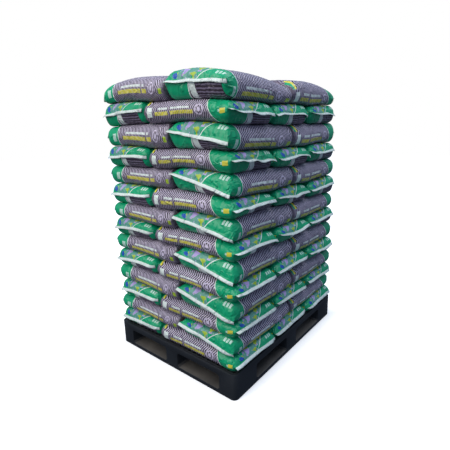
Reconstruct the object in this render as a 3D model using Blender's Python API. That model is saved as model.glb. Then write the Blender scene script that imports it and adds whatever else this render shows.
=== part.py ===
"""Pallet of sacks: a moulded plastic pallet under fourteen layers of five filled sacks.

Metres, +Z up. The origin is the middle of the pallet's underside, +X runs along its 1.2 m side.
Each layer is one solid: its five sacks press side to side, with the seams between them cut in.
"""

import math

import bmesh
import bpy
import numpy as np
from mathutils import Matrix, Vector

# Pallet, outer sizes
PALLET_LENGTH = 1.2
PALLET_WIDTH = 1.0
PALLET_HEIGHT = 0.16
CORNER_RADIUS = 0.03
RIM_WIDTH = 0.012
RIM_RISE = 0.004
EDGE_CHAMFER = 0.003

# Pallet, fork entries and base
ENTRY_HEIGHT = 0.095
BASE_THICKNESS = 0.025
END_BLOCK_LENGTH = 0.2
MIDDLE_BLOCK_LENGTH = 0.12
SIDE_BLOCK_WIDTH = 0.115
MIDDLE_BLOCK_WIDTH = 0.1
ENTRY_CHAMFER = 0.012

# Sacks
SACK_LENGTH = 0.582
SACK_WIDTH = 0.393
SACK_CORNER_RADIUS = 0.055
SACK_PRESS = 0.002
LAYER_COUNT = 14
BOTTOM_LAYER_THICKNESS = 0.097
TOP_LAYER_THICKNESS = 0.1202
PILLOW_SHARE = 0.4

# How much wider the lengthwise sacks have bulged in even layers, which presses the crosswise ones shorter
BULGE = 0.026

# How much wider than the plan each layer is pressed, and how far it leans along X, at a few layers
SPREAD_AT, SPREAD = (1, 4, 9, 12, 14), (0.010, 0.022, 0.018, 0.004, -0.006)
LEAN_AT, LEAN = (1, 10, 14), (0.0, 0.0, -0.009)

# How far each seam, from the lowest up, lies above even spacing in the photograph, in millimetres:
# at the front corner, at the left corner and at the right one
SEAM_CORNERS = ((-5, 2, 2), (2, -9, -10), (-10, 5, -17), (8, 12, -16), (4, 22, -15), (14, 9, -7),
                (6, 19, -4), (13, 3, -3), (5, 15, 2), (8, 4, 10), (1, 9, 12), (11, 5, 24), (-1, 19, 21))
SEAM_CORNER_X, SEAM_CORNER_Y = 0.555, 0.455

# The top layer's crowns, how much higher each head end is than its tail, and each left side than its right
TOP_CROWNS = (0.036, 0.045, 0.050, 0.045, 0.045)
TOP_TILTS = (0.036, -0.024, -0.012, 0.004, -0.004)
TOP_ROLLS = (-0.030, 0.0, 0.0, 0.0, 0.0)
TOP_DROP = -0.012
CROWN_LINE_STEP = 0.097
SNAP = 0.0003

# The welded seal across a sack's outer end, which hangs down from the middle of its height
SEAL_LENGTH = 0.03
SEAL_WIDTH = 0.32
SEAL_THICKNESS = 0.004
SEAL_ROOT = 0.008
SEAL_DROOP = math.radians(55)

# Meshes are held in 32-bit numbers, so pieces that rest on each other keep this gap
SEAT_GAP = 0.0003
CUT_PAST = 0.05

BLACK_PLASTIC = (0.018, 0.02, 0.024, 1.0)
SACK_GREEN = (0.02, 0.33, 0.17, 1.0)
SACK_GREY = (0.13, 0.1, 0.13, 1.0)


def clear_scene():
    for item in list(bpy.data.objects):
        bpy.data.objects.remove(item, do_unlink=True)


def new_collection(name):
    collection = bpy.data.collections.new(name)
    bpy.context.scene.collection.children.link(collection)
    return collection


def new_material(name, colour, roughness):
    material = bpy.data.materials.new(name)
    material.use_nodes = True
    shader = material.node_tree.nodes["Principled BSDF"]
    shader.inputs["Base Color"].default_value = colour
    shader.inputs["Roughness"].default_value = roughness
    shader.inputs["Metallic"].default_value = 0.0
    return material


def box_mesh(name, low, high):
    """A box between two corners, its origin at the frame's origin."""
    low, high = Vector(low), Vector(high)
    mesh = bpy.data.meshes.new(name)
    shape = bmesh.new()
    middle = Matrix.Translation((low + high) / 2)
    stretch = Matrix.Diagonal((*(high - low), 1.0))
    bmesh.ops.create_cube(shape, size=1.0, matrix=middle @ stretch)
    shape.to_mesh(mesh)
    shape.free()
    return mesh


def add_object(name, mesh, collection, material=None):
    item = bpy.data.objects.new(name, mesh)
    collection.objects.link(item)
    if material:
        mesh.materials.append(material)
    return item


def add_helper(name, mesh, helpers):
    """A cutter or other guide: it shapes a part and is no part itself."""
    item = add_object(name, mesh, helpers)
    item.hide_render = True
    item.display_type = "WIRE"
    return item


def boolean(item, tool, operation):
    step = item.modifiers.new(f"{operation.lower()} {tool.name}", "BOOLEAN")
    step.operation = operation
    step.solver = "EXACT"
    step.object = tool


def bevel_edges(mesh, chosen, width, segments):
    """Bevels the edges that the test picks."""
    shape = bmesh.new()
    shape.from_mesh(mesh)
    edges = [edge for edge in shape.edges if chosen(edge)]
    bmesh.ops.bevel(shape, geom=edges, offset=width, segments=segments, profile=0.5, affect="EDGES")
    shape.to_mesh(mesh)
    shape.free()


def is_upright(edge):
    start, end = edge.verts
    return abs(start.co.z - end.co.z) > 1e-6


def is_level_at(height):
    """A test for the edges that lie in the plane of one height."""
    def chosen(edge):
        return all(abs(vertex.co.z - height) < 1e-6 for vertex in edge.verts)
    return chosen


def runs_along(axis):
    def chosen(edge):
        start, end = edge.verts
        return abs((start.co - end.co)[axis]) > 0.5
    return chosen


def entry_mesh(name, low, high, axis):
    """A fork entry's cutter: a tunnel along one axis with its four long edges chamfered."""
    mesh = box_mesh(name, low, high)
    bevel_edges(mesh, runs_along(axis), ENTRY_CHAMFER, 1)
    return mesh


def cut_entries(pallet, helpers):
    """Two tunnels each way, which leave nine blocks between the deck and the base."""
    floor, roof = BASE_THICKNESS, BASE_THICKNESS + ENTRY_HEIGHT
    inner_y, outer_y = MIDDLE_BLOCK_WIDTH / 2, PALLET_WIDTH / 2 - SIDE_BLOCK_WIDTH
    inner_x, outer_x = MIDDLE_BLOCK_LENGTH / 2, PALLET_LENGTH / 2 - END_BLOCK_LENGTH
    reach_x, reach_y = PALLET_LENGTH / 2 + CUT_PAST, PALLET_WIDTH / 2 + CUT_PAST
    for label, side in (("left", 1), ("right", -1)):
        near, far = sorted((side * inner_y, side * outer_y))
        mesh = entry_mesh(f"long_entry_{label}", (-reach_x, near, floor), (reach_x, far, roof), 0)
        boolean(pallet, add_helper(mesh.name, mesh, helpers), "DIFFERENCE")
    for label, side in (("front", -1), ("back", 1)):
        near, far = sorted((side * inner_x, side * outer_x))
        mesh = entry_mesh(f"cross_entry_{label}", (near, -reach_y, floor), (far, reach_y, roof), 1)
        boolean(pallet, add_helper(mesh.name, mesh, helpers), "DIFFERENCE")


def cut_base_windows(pallet, helpers):
    """Four windows in the base, where a pallet truck's wheels come down to the floor."""
    near_x, far_x = MIDDLE_BLOCK_LENGTH / 2, PALLET_LENGTH / 2 - END_BLOCK_LENGTH
    near_y, far_y = MIDDLE_BLOCK_WIDTH / 2, PALLET_WIDTH / 2 - SIDE_BLOCK_WIDTH
    for side_x in (-1, 1):
        for side_y in (-1, 1):
            low_x, high_x = sorted((side_x * near_x, side_x * far_x))
            low_y, high_y = sorted((side_y * near_y, side_y * far_y))
            name = f"base_window_{side_x + 1}{side_y + 1}"
            mesh = box_mesh(name, (low_x, low_y, -CUT_PAST), (high_x, high_y, 2 * BASE_THICKNESS))
            boolean(pallet, add_helper(name, mesh, helpers), "DIFFERENCE")


def make_pallet(parts, helpers, plastic):
    """The moulded pallet: a rimmed deck on nine blocks over a framed base, all one piece."""
    half_length, half_width = PALLET_LENGTH / 2, PALLET_WIDTH / 2
    mesh = box_mesh("pallet", (-half_length, -half_width, 0), (half_length, half_width, PALLET_HEIGHT))
    bevel_edges(mesh, is_upright, CORNER_RADIUS, 4)
    bevel_edges(mesh, is_level_at(PALLET_HEIGHT), EDGE_CHAMFER, 1)
    pallet = add_object("pallet", mesh, parts, plastic)
    inner_length, inner_width = half_length - RIM_WIDTH, half_width - RIM_WIDTH
    deck = PALLET_HEIGHT - RIM_RISE
    tray = box_mesh("deck_recess", (-inner_length, -inner_width, deck), (inner_length, inner_width, 1.0))
    bevel_edges(tray, is_upright, CORNER_RADIUS - RIM_WIDTH, 4)
    boolean(pallet, add_helper("deck_recess", tray, helpers), "DIFFERENCE")
    cut_entries(pallet, helpers)
    cut_base_windows(pallet, helpers)
    return pallet


def sack_mesh(name, low, high, thickness):
    """One filled sack: round corners in plan, and pillow edges above and below."""
    press = Vector((SACK_PRESS / 2, SACK_PRESS / 2))
    low, high = Vector(low) - press, Vector(high) + press
    mesh = box_mesh(name, (*low, -thickness / 2), (*high, thickness / 2))
    bevel_edges(mesh, is_upright, SACK_CORNER_RADIUS, 2)
    pillow = PILLOW_SHARE * thickness
    for height in (-thickness / 2, thickness / 2):
        bevel_edges(mesh, is_level_at(height), pillow, 2)
    return mesh


def seal_mesh(name, low, high, heading):
    """The flat seal at the end that the heading points to, turned down about its root."""
    mesh = box_mesh(name, (-SEAL_ROOT, -SEAL_WIDTH / 2, -SEAL_THICKNESS / 2),
                    (SEAL_LENGTH, SEAL_WIDTH / 2, SEAL_THICKNESS / 2))
    low, high, heading = Vector(low), Vector(high), Vector(heading)
    half_length = abs((high - low).dot(heading)) / 2
    root = (low + high) / 2 + heading * half_length
    droop = Matrix.Rotation(SEAL_DROOP, 4, "Y")
    turn = Matrix.Rotation(math.atan2(heading.y, heading.x), 4, "Z")
    mesh.transform(Matrix.Translation((*root, 0.0)) @ turn @ droop)
    return mesh


def sack_places(bulge):
    """A layer's sacks as plan rectangles, two lengthwise and three crosswise, with each one's heading."""
    left = -1.5 * SACK_WIDTH
    front = -(SACK_LENGTH + SACK_WIDTH) / 2
    seam = front + SACK_WIDTH
    back = seam + SACK_LENGTH
    seam += bulge
    places = [((-SACK_LENGTH, front), (0, seam), (-1, 0)), ((0, front), (SACK_LENGTH, seam), (1, 0))]
    for column in range(3):
        start = left + column * SACK_WIDTH
        places.append(((start, seam), (start + SACK_WIDTH, back), (0, 1)))
    return places


def layer_mesh(thickness, helpers, bulge):
    """Five sacks pressed together into one solid, which the layers share."""
    shapes = []
    for number, (low, high, heading) in enumerate(sack_places(bulge), 1):
        for mesh in (sack_mesh(f"layer_sack_{number}", low, high, thickness),
                     seal_mesh(f"layer_seal_{number}", low, high, heading)):
            shapes.append(add_helper(mesh.name, mesh, helpers))
    for other in shapes[1:]:
        boolean(shapes[0], other, "UNION")
    bpy.context.view_layer.update()
    depsgraph = bpy.context.evaluated_depsgraph_get()
    joined = bpy.data.meshes.new_from_object(shapes[0].evaluated_get(depsgraph))
    joined.name = "sack_layer"
    for shape in shapes:
        bpy.data.objects.remove(shape, do_unlink=True)
    return joined


def layer_thickness(number):
    """Layers count from 1 at the bottom, which the load presses thinnest."""
    share = (number - 1) / (LAYER_COUNT - 1)
    return BOTTOM_LAYER_THICKNESS + share * (TOP_LAYER_THICKNESS - BOTTOM_LAYER_THICKNESS)


def even_level(number):
    """The height of a layer's top if the sacks lay evenly; number 0 is the deck."""
    height = PALLET_HEIGHT - RIM_RISE
    for layer in range(1, number + 1):
        height += SEAT_GAP + layer_thickness(layer)
    return height


def seam_offset(level, x, y):
    """How far a seam lies above even spacing: two planes, folded on the line from left to right corner."""
    if level == 0:
        return 0.0
    front, left, right = (offset / 1000 for offset in SEAM_CORNERS[level - 1])
    back = (left + right) / 2
    along, across = x / SEAM_CORNER_X, y / SEAM_CORNER_Y
    if along + across < 0:
        slope_x, slope_y = right - front, left - front
    else:
        slope_x, slope_y = back - left, back - right
    return (left + right + along * slope_x + across * slope_y) / 2


def top_offset(x, y):
    """The top layer's crowned sacks: each is highest in its middle and lowest at its corners."""
    nearest, offset = 9.0, 0.0
    sacks = zip(sack_places(BULGE), TOP_CROWNS, TOP_TILTS, TOP_ROLLS)
    for place, crown, tilt, roll in sacks:
        low, high, heading = (Vector(part) for part in place)
        from_middle, size = Vector((x, y)) - (low + high) / 2, high - low
        left = Vector((-heading.y, heading.x))
        along = from_middle.dot(heading) / abs(size.dot(heading))
        across = from_middle.dot(left) / abs(size.dot(left))
        over = max(abs(along), abs(across))
        if over < nearest:
            nearest = over
            rise_along = math.cos(math.pi * max(-0.5, min(0.5, along)))
            rise_across = math.cos(math.pi * max(-0.5, min(0.5, across)))
            rise = 0.6 * (rise_along + rise_across) - 0.2 * rise_along * rise_across
            offset = crown * rise + tilt * along + roll * across
    return TOP_DROP + offset


def cut_lines(shape, faces, point, normal):
    """Cuts a straight line across the faces, so that they can bend there."""
    edges = {edge for face in faces for edge in face.edges}
    points = {vertex for face in faces for vertex in face.verts}
    bmesh.ops.bisect_plane(shape, geom=[*points, *edges, *faces], dist=SNAP, plane_co=point, plane_no=normal)


def cut_crown_lines(shape):
    """Cuts the upper faces in a grid, fine enough for the crowns."""
    for axis, reach in ((0, 1.5 * SACK_WIDTH), (1, (SACK_LENGTH + SACK_WIDTH) / 2)):
        count = round(2 * reach / CROWN_LINE_STEP)
        normal = Vector((0.0, 0.0, 0.0))
        normal[axis] = 1.0
        for line in range(1, count):
            upper = [face for face in shape.faces if face.normal.z > 0.1]
            cut_lines(shape, upper, normal * (2 * reach * line / count - reach), normal)


def fit_layer(mesh, number):
    """Bends a layer between the seam under it and the seam over it."""
    shape = bmesh.new()
    shape.from_mesh(mesh)
    across_fold = Vector((1 / SEAM_CORNER_X, 1 / SEAM_CORNER_Y, 0)).normalized()
    cut_lines(shape, shape.faces[:], Vector((0, 0, 0)), across_fold)
    if number == LAYER_COUNT:
        cut_crown_lines(shape)
    reach = max(vertex.co.z for vertex in shape.verts)
    for vertex in shape.verts:
        x, y, z = vertex.co
        low = even_level(number - 1) + SEAT_GAP + seam_offset(number - 1, x, y)
        rise = top_offset(x, y) if number == LAYER_COUNT else seam_offset(number, x, y)
        high = even_level(number) + rise
        vertex.co.z = low + (z / (2 * reach) + 0.5) * (high - low)
    shape.to_mesh(mesh)
    shape.free()


def make_layers(parts, helpers, green, grey):
    """The stack: each layer is turned half round on the one below, to bind it."""
    model_thickness = (BOTTOM_LAYER_THICKNESS + TOP_LAYER_THICKNESS) / 2
    shared = [layer_mesh(model_thickness, helpers, bulge) for bulge in (BULGE, 0.0)]
    for number in range(1, LAYER_COUNT + 1):
        odd = number % 2
        spread = 1 + float(np.interp(number, SPREAD_AT, SPREAD))
        lean = float(np.interp(number, LEAN_AT, LEAN))
        place = Matrix.Translation((lean, 0, 0)) @ Matrix.Rotation(math.pi if odd else 0.0, 4, "Z")
        mesh = shared[odd].copy()
        mesh.transform(place @ Matrix.Diagonal((spread, spread, 1.0, 1.0)))
        fit_layer(mesh, number)
        mesh.transform(place.inverted())
        layer = add_object(f"sack_layer_{number:02d}", mesh, parts)
        layer.data.materials.clear()
        layer.data.materials.append(green if odd else grey)
        layer.location.x = lean
        layer.rotation_euler.z = math.pi if odd else 0.0
    return even_level(LAYER_COUNT) + TOP_DROP + max(TOP_CROWNS)


clear_scene()
part_collection = new_collection("pallet_of_sacks")
helper_collection = new_collection("cutters")
black_plastic = new_material("black_plastic", BLACK_PLASTIC, 0.5)
green_film = new_material("green_sack_film", SACK_GREEN, 0.35)
grey_film = new_material("grey_sack_film", SACK_GREY, 0.35)
make_pallet(part_collection, helper_collection, black_plastic)
stack_top = make_layers(part_collection, helper_collection, green_film, grey_film)
print(f"Stack top at {stack_top:.4f} m")
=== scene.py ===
# %% [markdown]
# # Pallet of sacks
#
# A black moulded plastic pallet carries seventy filled film sacks in fourteen layers of five. This lesson
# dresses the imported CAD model: the sacks become pillows of printed film, blown up by a cloth simulation and
# then laid layer by layer, and the pallet gets its perforated deck and its moulded surface.
# Metres, +Z up. +X runs along the pallet's long side, and the origin is the middle of its underside.

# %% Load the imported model
import math

import bpy
import numpy as np
from mathutils import Matrix, Vector


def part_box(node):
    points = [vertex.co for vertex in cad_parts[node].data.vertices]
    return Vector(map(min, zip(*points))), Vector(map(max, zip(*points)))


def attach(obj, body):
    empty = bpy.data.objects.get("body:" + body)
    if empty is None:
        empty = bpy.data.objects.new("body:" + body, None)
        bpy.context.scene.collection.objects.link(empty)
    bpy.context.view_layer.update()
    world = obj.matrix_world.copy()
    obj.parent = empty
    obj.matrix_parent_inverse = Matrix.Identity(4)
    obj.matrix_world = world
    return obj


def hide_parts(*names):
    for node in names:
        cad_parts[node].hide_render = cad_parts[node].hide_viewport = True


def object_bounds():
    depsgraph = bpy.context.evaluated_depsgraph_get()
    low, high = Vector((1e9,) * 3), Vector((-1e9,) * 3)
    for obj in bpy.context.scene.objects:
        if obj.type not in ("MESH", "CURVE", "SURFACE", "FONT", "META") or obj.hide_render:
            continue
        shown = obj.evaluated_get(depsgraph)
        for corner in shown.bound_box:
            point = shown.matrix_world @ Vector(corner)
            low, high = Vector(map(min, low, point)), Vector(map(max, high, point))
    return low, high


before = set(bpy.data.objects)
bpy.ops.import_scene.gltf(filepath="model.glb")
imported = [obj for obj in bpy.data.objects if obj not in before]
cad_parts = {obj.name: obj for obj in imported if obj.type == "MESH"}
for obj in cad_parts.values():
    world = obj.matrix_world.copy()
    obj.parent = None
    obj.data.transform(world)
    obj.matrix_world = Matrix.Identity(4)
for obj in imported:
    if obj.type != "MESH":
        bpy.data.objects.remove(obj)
cad_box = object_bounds()
print("CAD box", cad_box)

# %% [markdown]
# ## Small helpers
#
# Operators act on whatever is selected, and loading leaves the CAD nodes selected, so every step starts by
# deselecting. One function adds a shader node with its settings and links. Colours are written as the hex
# values that an eyedropper gives, and one function turns them to the linear values that Blender wants.

# %% Helpers
# The sRGB curve is a straight line up to its knee, and a power above it
SRGB_KNEE, SRGB_SLOPE, SRGB_OFFSET, SRGB_POWER = 0.04045, 12.92, 0.055, 2.4


def deselect():
    if bpy.context.object and bpy.context.object.mode != "OBJECT":
        bpy.ops.object.mode_set(mode="OBJECT")
    bpy.ops.object.select_all(action="DESELECT")


def linear(hex_colour):
    """An sRGB hex colour as the linear RGBA that Blender's sockets hold."""
    shares = [int(hex_colour[start:start + 2], 16) / 255 for start in (1, 3, 5)]
    return (*(s / SRGB_SLOPE if s <= SRGB_KNEE else ((s + SRGB_OFFSET) / (1 + SRGB_OFFSET)) ** SRGB_POWER
              for s in shares), 1.0)


def add_node(tree, kind, inputs=None, **settings):
    """Adds a node, sets its properties, and fills its inputs with values or links."""
    node = tree.nodes.new(kind)
    for name, value in settings.items():
        setattr(node, name, value)
    for name, value in (inputs or {}).items():
        if isinstance(value, bpy.types.NodeSocket):
            tree.links.new(value, node.inputs[name])
        else:
            node.inputs[name].default_value = value
    return node


def get_points(mesh):
    flat = np.empty(len(mesh.vertices) * 3)
    mesh.vertices.foreach_get("co", flat)
    return flat.reshape(-1, 3)


def set_points(mesh, points):
    mesh.vertices.foreach_set("co", np.asarray(points, dtype=float).ravel())
    mesh.update()


def ramp(value, start, end):
    """Nought up to the start, one from the end on, and straight in between."""
    return np.clip((value - start) / (end - start), 0, 1)


print("white in linear light", linear("#FFFFFF"))

# %% [markdown]
# ## Camera
#
# The place, turn and lens were solved from the pallet's corners in the photograph. The principal point lies
# a little off the middle of the frame, because the photograph was cropped, and the shift takes care of that.

# %% Camera
FRAME_PIXELS = 450
FOCAL_PIXELS = 352.68
CENTRE_X, CENTRE_Y = 244.67, 222.99
CAMERA_PLACE = (-1.8359, -1.5109, 1.4139)
CAMERA_YAW, CAMERA_PITCH, CAMERA_ROLL = (math.radians(angle) for angle in (52.85, 14.58, -0.59))
SENSOR_WIDTH, NEAREST_SEEN = 36.0, 0.05


def camera_turn():
    """The camera's axes: right, up and backwards, as the columns of a rotation."""
    forward = Vector((math.cos(CAMERA_PITCH) * math.sin(CAMERA_YAW),
                      math.cos(CAMERA_PITCH) * math.cos(CAMERA_YAW), -math.sin(CAMERA_PITCH)))
    right = Vector((math.cos(CAMERA_YAW), -math.sin(CAMERA_YAW), 0.0))
    up = right.cross(forward)
    rolled_right = right * math.cos(CAMERA_ROLL) + up * math.sin(CAMERA_ROLL)
    rolled_up = up * math.cos(CAMERA_ROLL) - right * math.sin(CAMERA_ROLL)
    return Matrix((rolled_right, rolled_up, -forward)).transposed()


deselect()
bpy.ops.object.camera_add(location=CAMERA_PLACE)
camera = bpy.context.object
camera.name = "photo_camera"
camera.rotation_euler = camera_turn().to_euler()
camera.data.sensor_width = SENSOR_WIDTH
camera.data.lens = FOCAL_PIXELS / FRAME_PIXELS * SENSOR_WIDTH
camera.data.shift_x = (FRAME_PIXELS / 2 - CENTRE_X) / FRAME_PIXELS
camera.data.shift_y = (CENTRE_Y - FRAME_PIXELS / 2) / FRAME_PIXELS
camera.data.clip_start = NEAREST_SEEN
bpy.context.scene.camera = camera
print("lens", round(camera.data.lens, 2), "mm")

# %% [markdown]
# ## Light and floor
#
# In the photograph daylight falls on the left face, the right face lies in cool shade, and all round it is
# white. A large softbox on the left does the first, and a smaller one lights the tops. A bluish surround, dim
# below and brighter above, fills the shade. The camera sees that surround as plain white, and the floor glows
# a little so that the ground is as pale as in the photograph. The glow fades out under the pallet, which
# paints a soft shadow round its foot.

# %% Light and floor
KEY_PLACE, KEY_SIZE, KEY_POWER = (-3.6, 0.9, 4.1), 5.0, 215.0
TOP_PLACE, TOP_SIZE, TOP_POWER = (0.9, -1.8, 4.6), 2.4, 60.0
# The surround's strength below and above, and the rise of the view between which it changes
SKY_BELOW, SKY_ABOVE, SKY_FROM, SKY_TO = 0.12, 0.62, -0.4, 0.8
# The floor's glow begins this far inside the object's sides, and is full this far outside them; this dim
# ramp paints a soft shadow round the pallet's foot
FLOOR_SIZE, FLOOR_GLOW, PAINTED_SHADOW_EDGE = 40.0, 0.82, 0.12
# Both softboxes face the middle of the stack
AIM = Vector((0.0, 0.0, 0.8))


def add_softbox(name, place, size, power, colour):
    deselect()
    bpy.ops.object.light_add(type="AREA", location=place)
    light = bpy.context.object
    light.name = name
    light.data.size = size
    light.data.energy = power
    light.data.color = linear(colour)[:3]
    light.rotation_euler = (Vector(place) - AIM).to_track_quat("Z", "Y").to_euler()


def make_surround():
    """A bluish sky, dim below and brighter above, which the camera sees as plain white."""
    world = bpy.data.worlds.new("studio_surround")
    bpy.context.scene.world = world
    world.use_nodes = True
    tree = world.node_tree
    tree.nodes.clear()
    path = add_node(tree, "ShaderNodeLightPath")
    view = add_node(tree, "ShaderNodeTexCoord").outputs["Generated"]
    way = add_node(tree, "ShaderNodeSeparateXYZ", {0: view})
    rise = add_node(tree, "ShaderNodeMapRange", {0: way.outputs[2], 1: SKY_FROM, 2: SKY_TO, 3: SKY_BELOW,
                                                 4: SKY_ABOVE})
    sky = add_node(tree, "ShaderNodeBackground", {"Color": linear("#C2D8FC"), "Strength": rise.outputs[0]})
    seen = add_node(tree, "ShaderNodeBackground", {"Color": linear("#FFFFFF"), "Strength": 1.0})
    mixed = add_node(tree, "ShaderNodeMixShader", {0: path.outputs["Is Camera Ray"], 1: sky.outputs[0],
                                                   2: seen.outputs[0]})
    add_node(tree, "ShaderNodeOutputWorld", {"Surface": mixed.outputs[0]})


def make_floor():
    """A pale floor that glows a little to meet the white background, with a painted shadow under the pallet.
    """
    deselect()
    bpy.ops.mesh.primitive_plane_add(size=FLOOR_SIZE, location=(0, 0, cad_box[0][2]))
    floor = bpy.context.object
    floor.name = "studio_floor"
    material = bpy.data.materials.new("pale_studio_floor")
    material.use_nodes = True
    tree = material.node_tree
    shader = tree.nodes["Principled BSDF"]
    where = add_node(tree, "ShaderNodeTexCoord").outputs["Object"]
    folded = add_node(tree, "ShaderNodeVectorMath", {0: where}, operation="ABSOLUTE")
    past = add_node(tree, "ShaderNodeVectorMath", {0: folded.outputs[0], 1: (*cad_box[1][:2], 0.0)},
                    operation="SUBTRACT")
    apart = add_node(tree, "ShaderNodeSeparateXYZ", {0: past.outputs[0]})
    far = add_node(tree, "ShaderNodeMath", {0: apart.outputs[0], 1: apart.outputs[1]}, operation="MAXIMUM")
    # No glow under the pallet, rising past its sides: a painted shadow round the pallet's foot
    glow_with_painted_shadow = add_node(tree, "ShaderNodeMapRange", {0: far.outputs[0], 1: -PAINTED_SHADOW_EDGE, 2: PAINTED_SHADOW_EDGE,
                                                 4: FLOOR_GLOW})
    tree.links.new(glow_with_painted_shadow.outputs[0], shader.inputs["Emission Strength"])
    shader.inputs["Base Color"].default_value = linear("#F4F4F4")
    shader.inputs["Emission Color"].default_value = linear("#FFFFFF")
    shader.inputs["Roughness"].default_value = 0.9
    floor.data.materials.append(material)
    # The glow is for the camera alone, so no light bounces from the floor onto the object
    floor.visible_diffuse = floor.visible_glossy = False


bpy.context.scene.view_settings.view_transform = "Standard"
make_surround()
make_floor()
add_softbox("key_softbox", KEY_PLACE, KEY_SIZE, KEY_POWER, "#FFF9F0")
add_softbox("top_softbox", TOP_PLACE, TOP_SIZE, TOP_POWER, "#F4F8FF")
print("softboxes of", KEY_POWER, "and", TOP_POWER, "W")

# %% [markdown]
# ## The film blank
#
# Each sack starts as a flat tube of film, laid out as a thin box: an upper and a lower sheet that meet in
# folds at the sides, and a closed end where each seal will be. The cube is cut into strips in edit mode,
# and its rings are then spaced so that they are finest near the seals, where film wrinkles most.

# %% The film blank
# The filled sack, how far each of its ends takes to run down to the weld, and the seal past it
SACK_LENGTH, SACK_WIDTH, SACK_THICKNESS = 0.582, 0.393, 0.108
END_REACH = 0.042
SEAL_LENGTH, SEAL_WIDTH = 0.023, 0.384
# The seal's two films together, drawn thicker than real ones, so that they show and stay apart
FILM_THICKNESS = 0.0012
# Cells across each sheet, and along it: close rings near each end, even cells between, and each seal's own
ACROSS_CELLS = 43
END_RINGS, MIDDLE_CELLS, SEAL_CELLS = 15, 30, 4
# How far apart the close rings lie
END_STEP = 0.0065
ALONG_CELLS = 2 * (END_RINGS + SEAL_CELLS) + MIDDLE_CELLS
LOOP = 2 * (ACROSS_CELLS + 1)


def ellipse_quarter(reach, rise, count=200):
    """Angles and the path length up to each, on a quarter ellipse that starts level and ends upright."""
    angles = np.linspace(0, math.pi / 2, count)
    steps = np.hypot(np.diff(reach * np.sin(angles)), np.diff(rise * np.cos(angles)))
    return angles, np.concatenate(([0.0], np.cumsum(steps)))


END_ANGLES, END_PATH = ellipse_quarter(END_REACH, SACK_THICKNESS / 2)
FLAT_HALF = SACK_LENGTH / 2 - END_REACH
FILM_HALF = FLAT_HALF + END_PATH[-1]
GIRTH = 2 * (SACK_WIDTH - SACK_THICKNESS) + math.pi * SACK_THICKNESS


def ring_places():
    """Distances along the flat film, from the middle to each ring, with the seals' rings past the ends."""
    inner = FILM_HALF - END_RINGS * END_STEP
    middle = np.linspace(-inner, inner, MIDDLE_CELLS + 1)
    end = inner + END_STEP * np.arange(1, END_RINGS + 1)
    seal = FILM_HALF + SEAL_LENGTH * np.arange(1, SEAL_CELLS + 1) / SEAL_CELLS
    upper = np.concatenate((end, seal))
    return np.concatenate((-upper[::-1], middle, upper))


def cut_strips(item, axis, cells):
    """Divides every edge of a box a metre wide along one axis, as an even row of cuts would."""
    mesh = item.data
    bpy.ops.object.mode_set(mode="EDIT")
    bpy.ops.mesh.select_mode(type="EDGE")
    bpy.ops.mesh.select_all(action="DESELECT")
    bpy.ops.object.mode_set(mode="OBJECT")
    for edge in mesh.edges:
        start, end = (mesh.vertices[index].co for index in edge.vertices)
        edge.select = abs(start[axis] - end[axis]) > 0.5
    bpy.ops.object.mode_set(mode="EDIT")
    bpy.ops.mesh.subdivide(number_cuts=cells - 1)
    bpy.ops.object.mode_set(mode="OBJECT")


def make_blank():
    deselect()
    bpy.ops.mesh.primitive_cube_add(size=1.0)
    blank = bpy.context.object
    blank.name = "film_blank"
    cut_strips(blank, 0, ALONG_CELLS)
    cut_strips(blank, 1, ACROSS_CELLS)
    return blank


blank = make_blank()
places = get_points(blank.data)
RING = np.rint((places[:, 0] + 0.5) * ALONG_CELLS).astype(int)
COLUMN = np.rint((places[:, 1] + 0.5) * ACROSS_CELLS).astype(int)
UPPER = places[:, 2] > 0
across = (COLUMN - ACROSS_CELLS / 2) / LOOP
# A point's share of the way round: 0 on top, a quarter at the +Y side, a half at the bottom
ROUND = np.where(UPPER, across, np.sign(across) * 0.5 - across)
ALONG = ring_places()[RING]
print("film blank:", len(places), "points,", len(blank.data.polygons), "faces")

# %% [markdown]
# ## The print's coordinates
#
# The film is printed flat, before it is filled. So the print is placed by its own UV map, in metres: u runs
# along the sack from tail to head, and v runs round it from the middle of the top. The map is made while the
# film is still a blank, and it stays on the film however the sack is bent later.

# %% The print's coordinates
PRINT_MAP = "print_metres"


def map_print(mesh):
    """Writes each corner's place on the flat film; the map's own seam lies under the middle of the sack."""
    layer = mesh.uv_layers.new(name=PRINT_MAP)
    corner_point = np.empty(len(mesh.loops), dtype=np.int32)
    mesh.loops.foreach_get("vertex_index", corner_point)
    corners = np.array([polygon.loop_total for polygon in mesh.polygons])
    face_of_corner = np.repeat(np.arange(len(corners)), corners)
    centre = np.zeros(len(corners))
    np.add.at(centre, face_of_corner, places[corner_point, 1])
    centre_side = np.where(centre / corners >= -1e-6, 1.0, -1.0)[face_of_corner]
    share = ROUND[corner_point]
    below = ~UPPER[corner_point]
    share = np.where(below & (centre_side > 0) & (share < 0), share + 1.0, share)
    share = np.where(below & (centre_side < 0) & (share > 0), share - 1.0, share)
    coordinates = np.column_stack((ALONG[corner_point], share * GIRTH))
    layer.data.foreach_set("uv", coordinates.ravel())


map_print(blank.data)
print("girth", round(GIRTH, 3), "m, film half", round(FILM_HALF, 3), "m")

# %% [markdown]
# ## The filled sack's shape
#
# A filled sack has flat faces where its neighbours press it, round sides, and ends that run down to a
# straight weld. The corners are rounded in plan, but the weld draws its own corners out again, on some sacks
# more than on others. Four variants of the film are bent to that shape by rule, and the sides of all but the
# first lean to and fro a little.

# %% The filled sack's shape
# How far the corners are rounded, and by what share each variant's weld draws them out again
PLAN_CORNER, DRAWN_OUT = 0.062, (0.8, 0.7, 0.3, 0.2)
VARIANTS = len(DRAWN_OUT)
# How late an end's sides draw in to the seal's width, and how far they lean to and fro
NARROWING_POWER, SIDE_LEAN = 1.6, 0.002
# The flat film is a little larger than the sack, and its side folds are drawn in over the last stretch
SPARE_FILM, FOLD_REACH, FOLD_POWER = 1.03, 0.09, 1.5
rng = np.random.default_rng(14)


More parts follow.
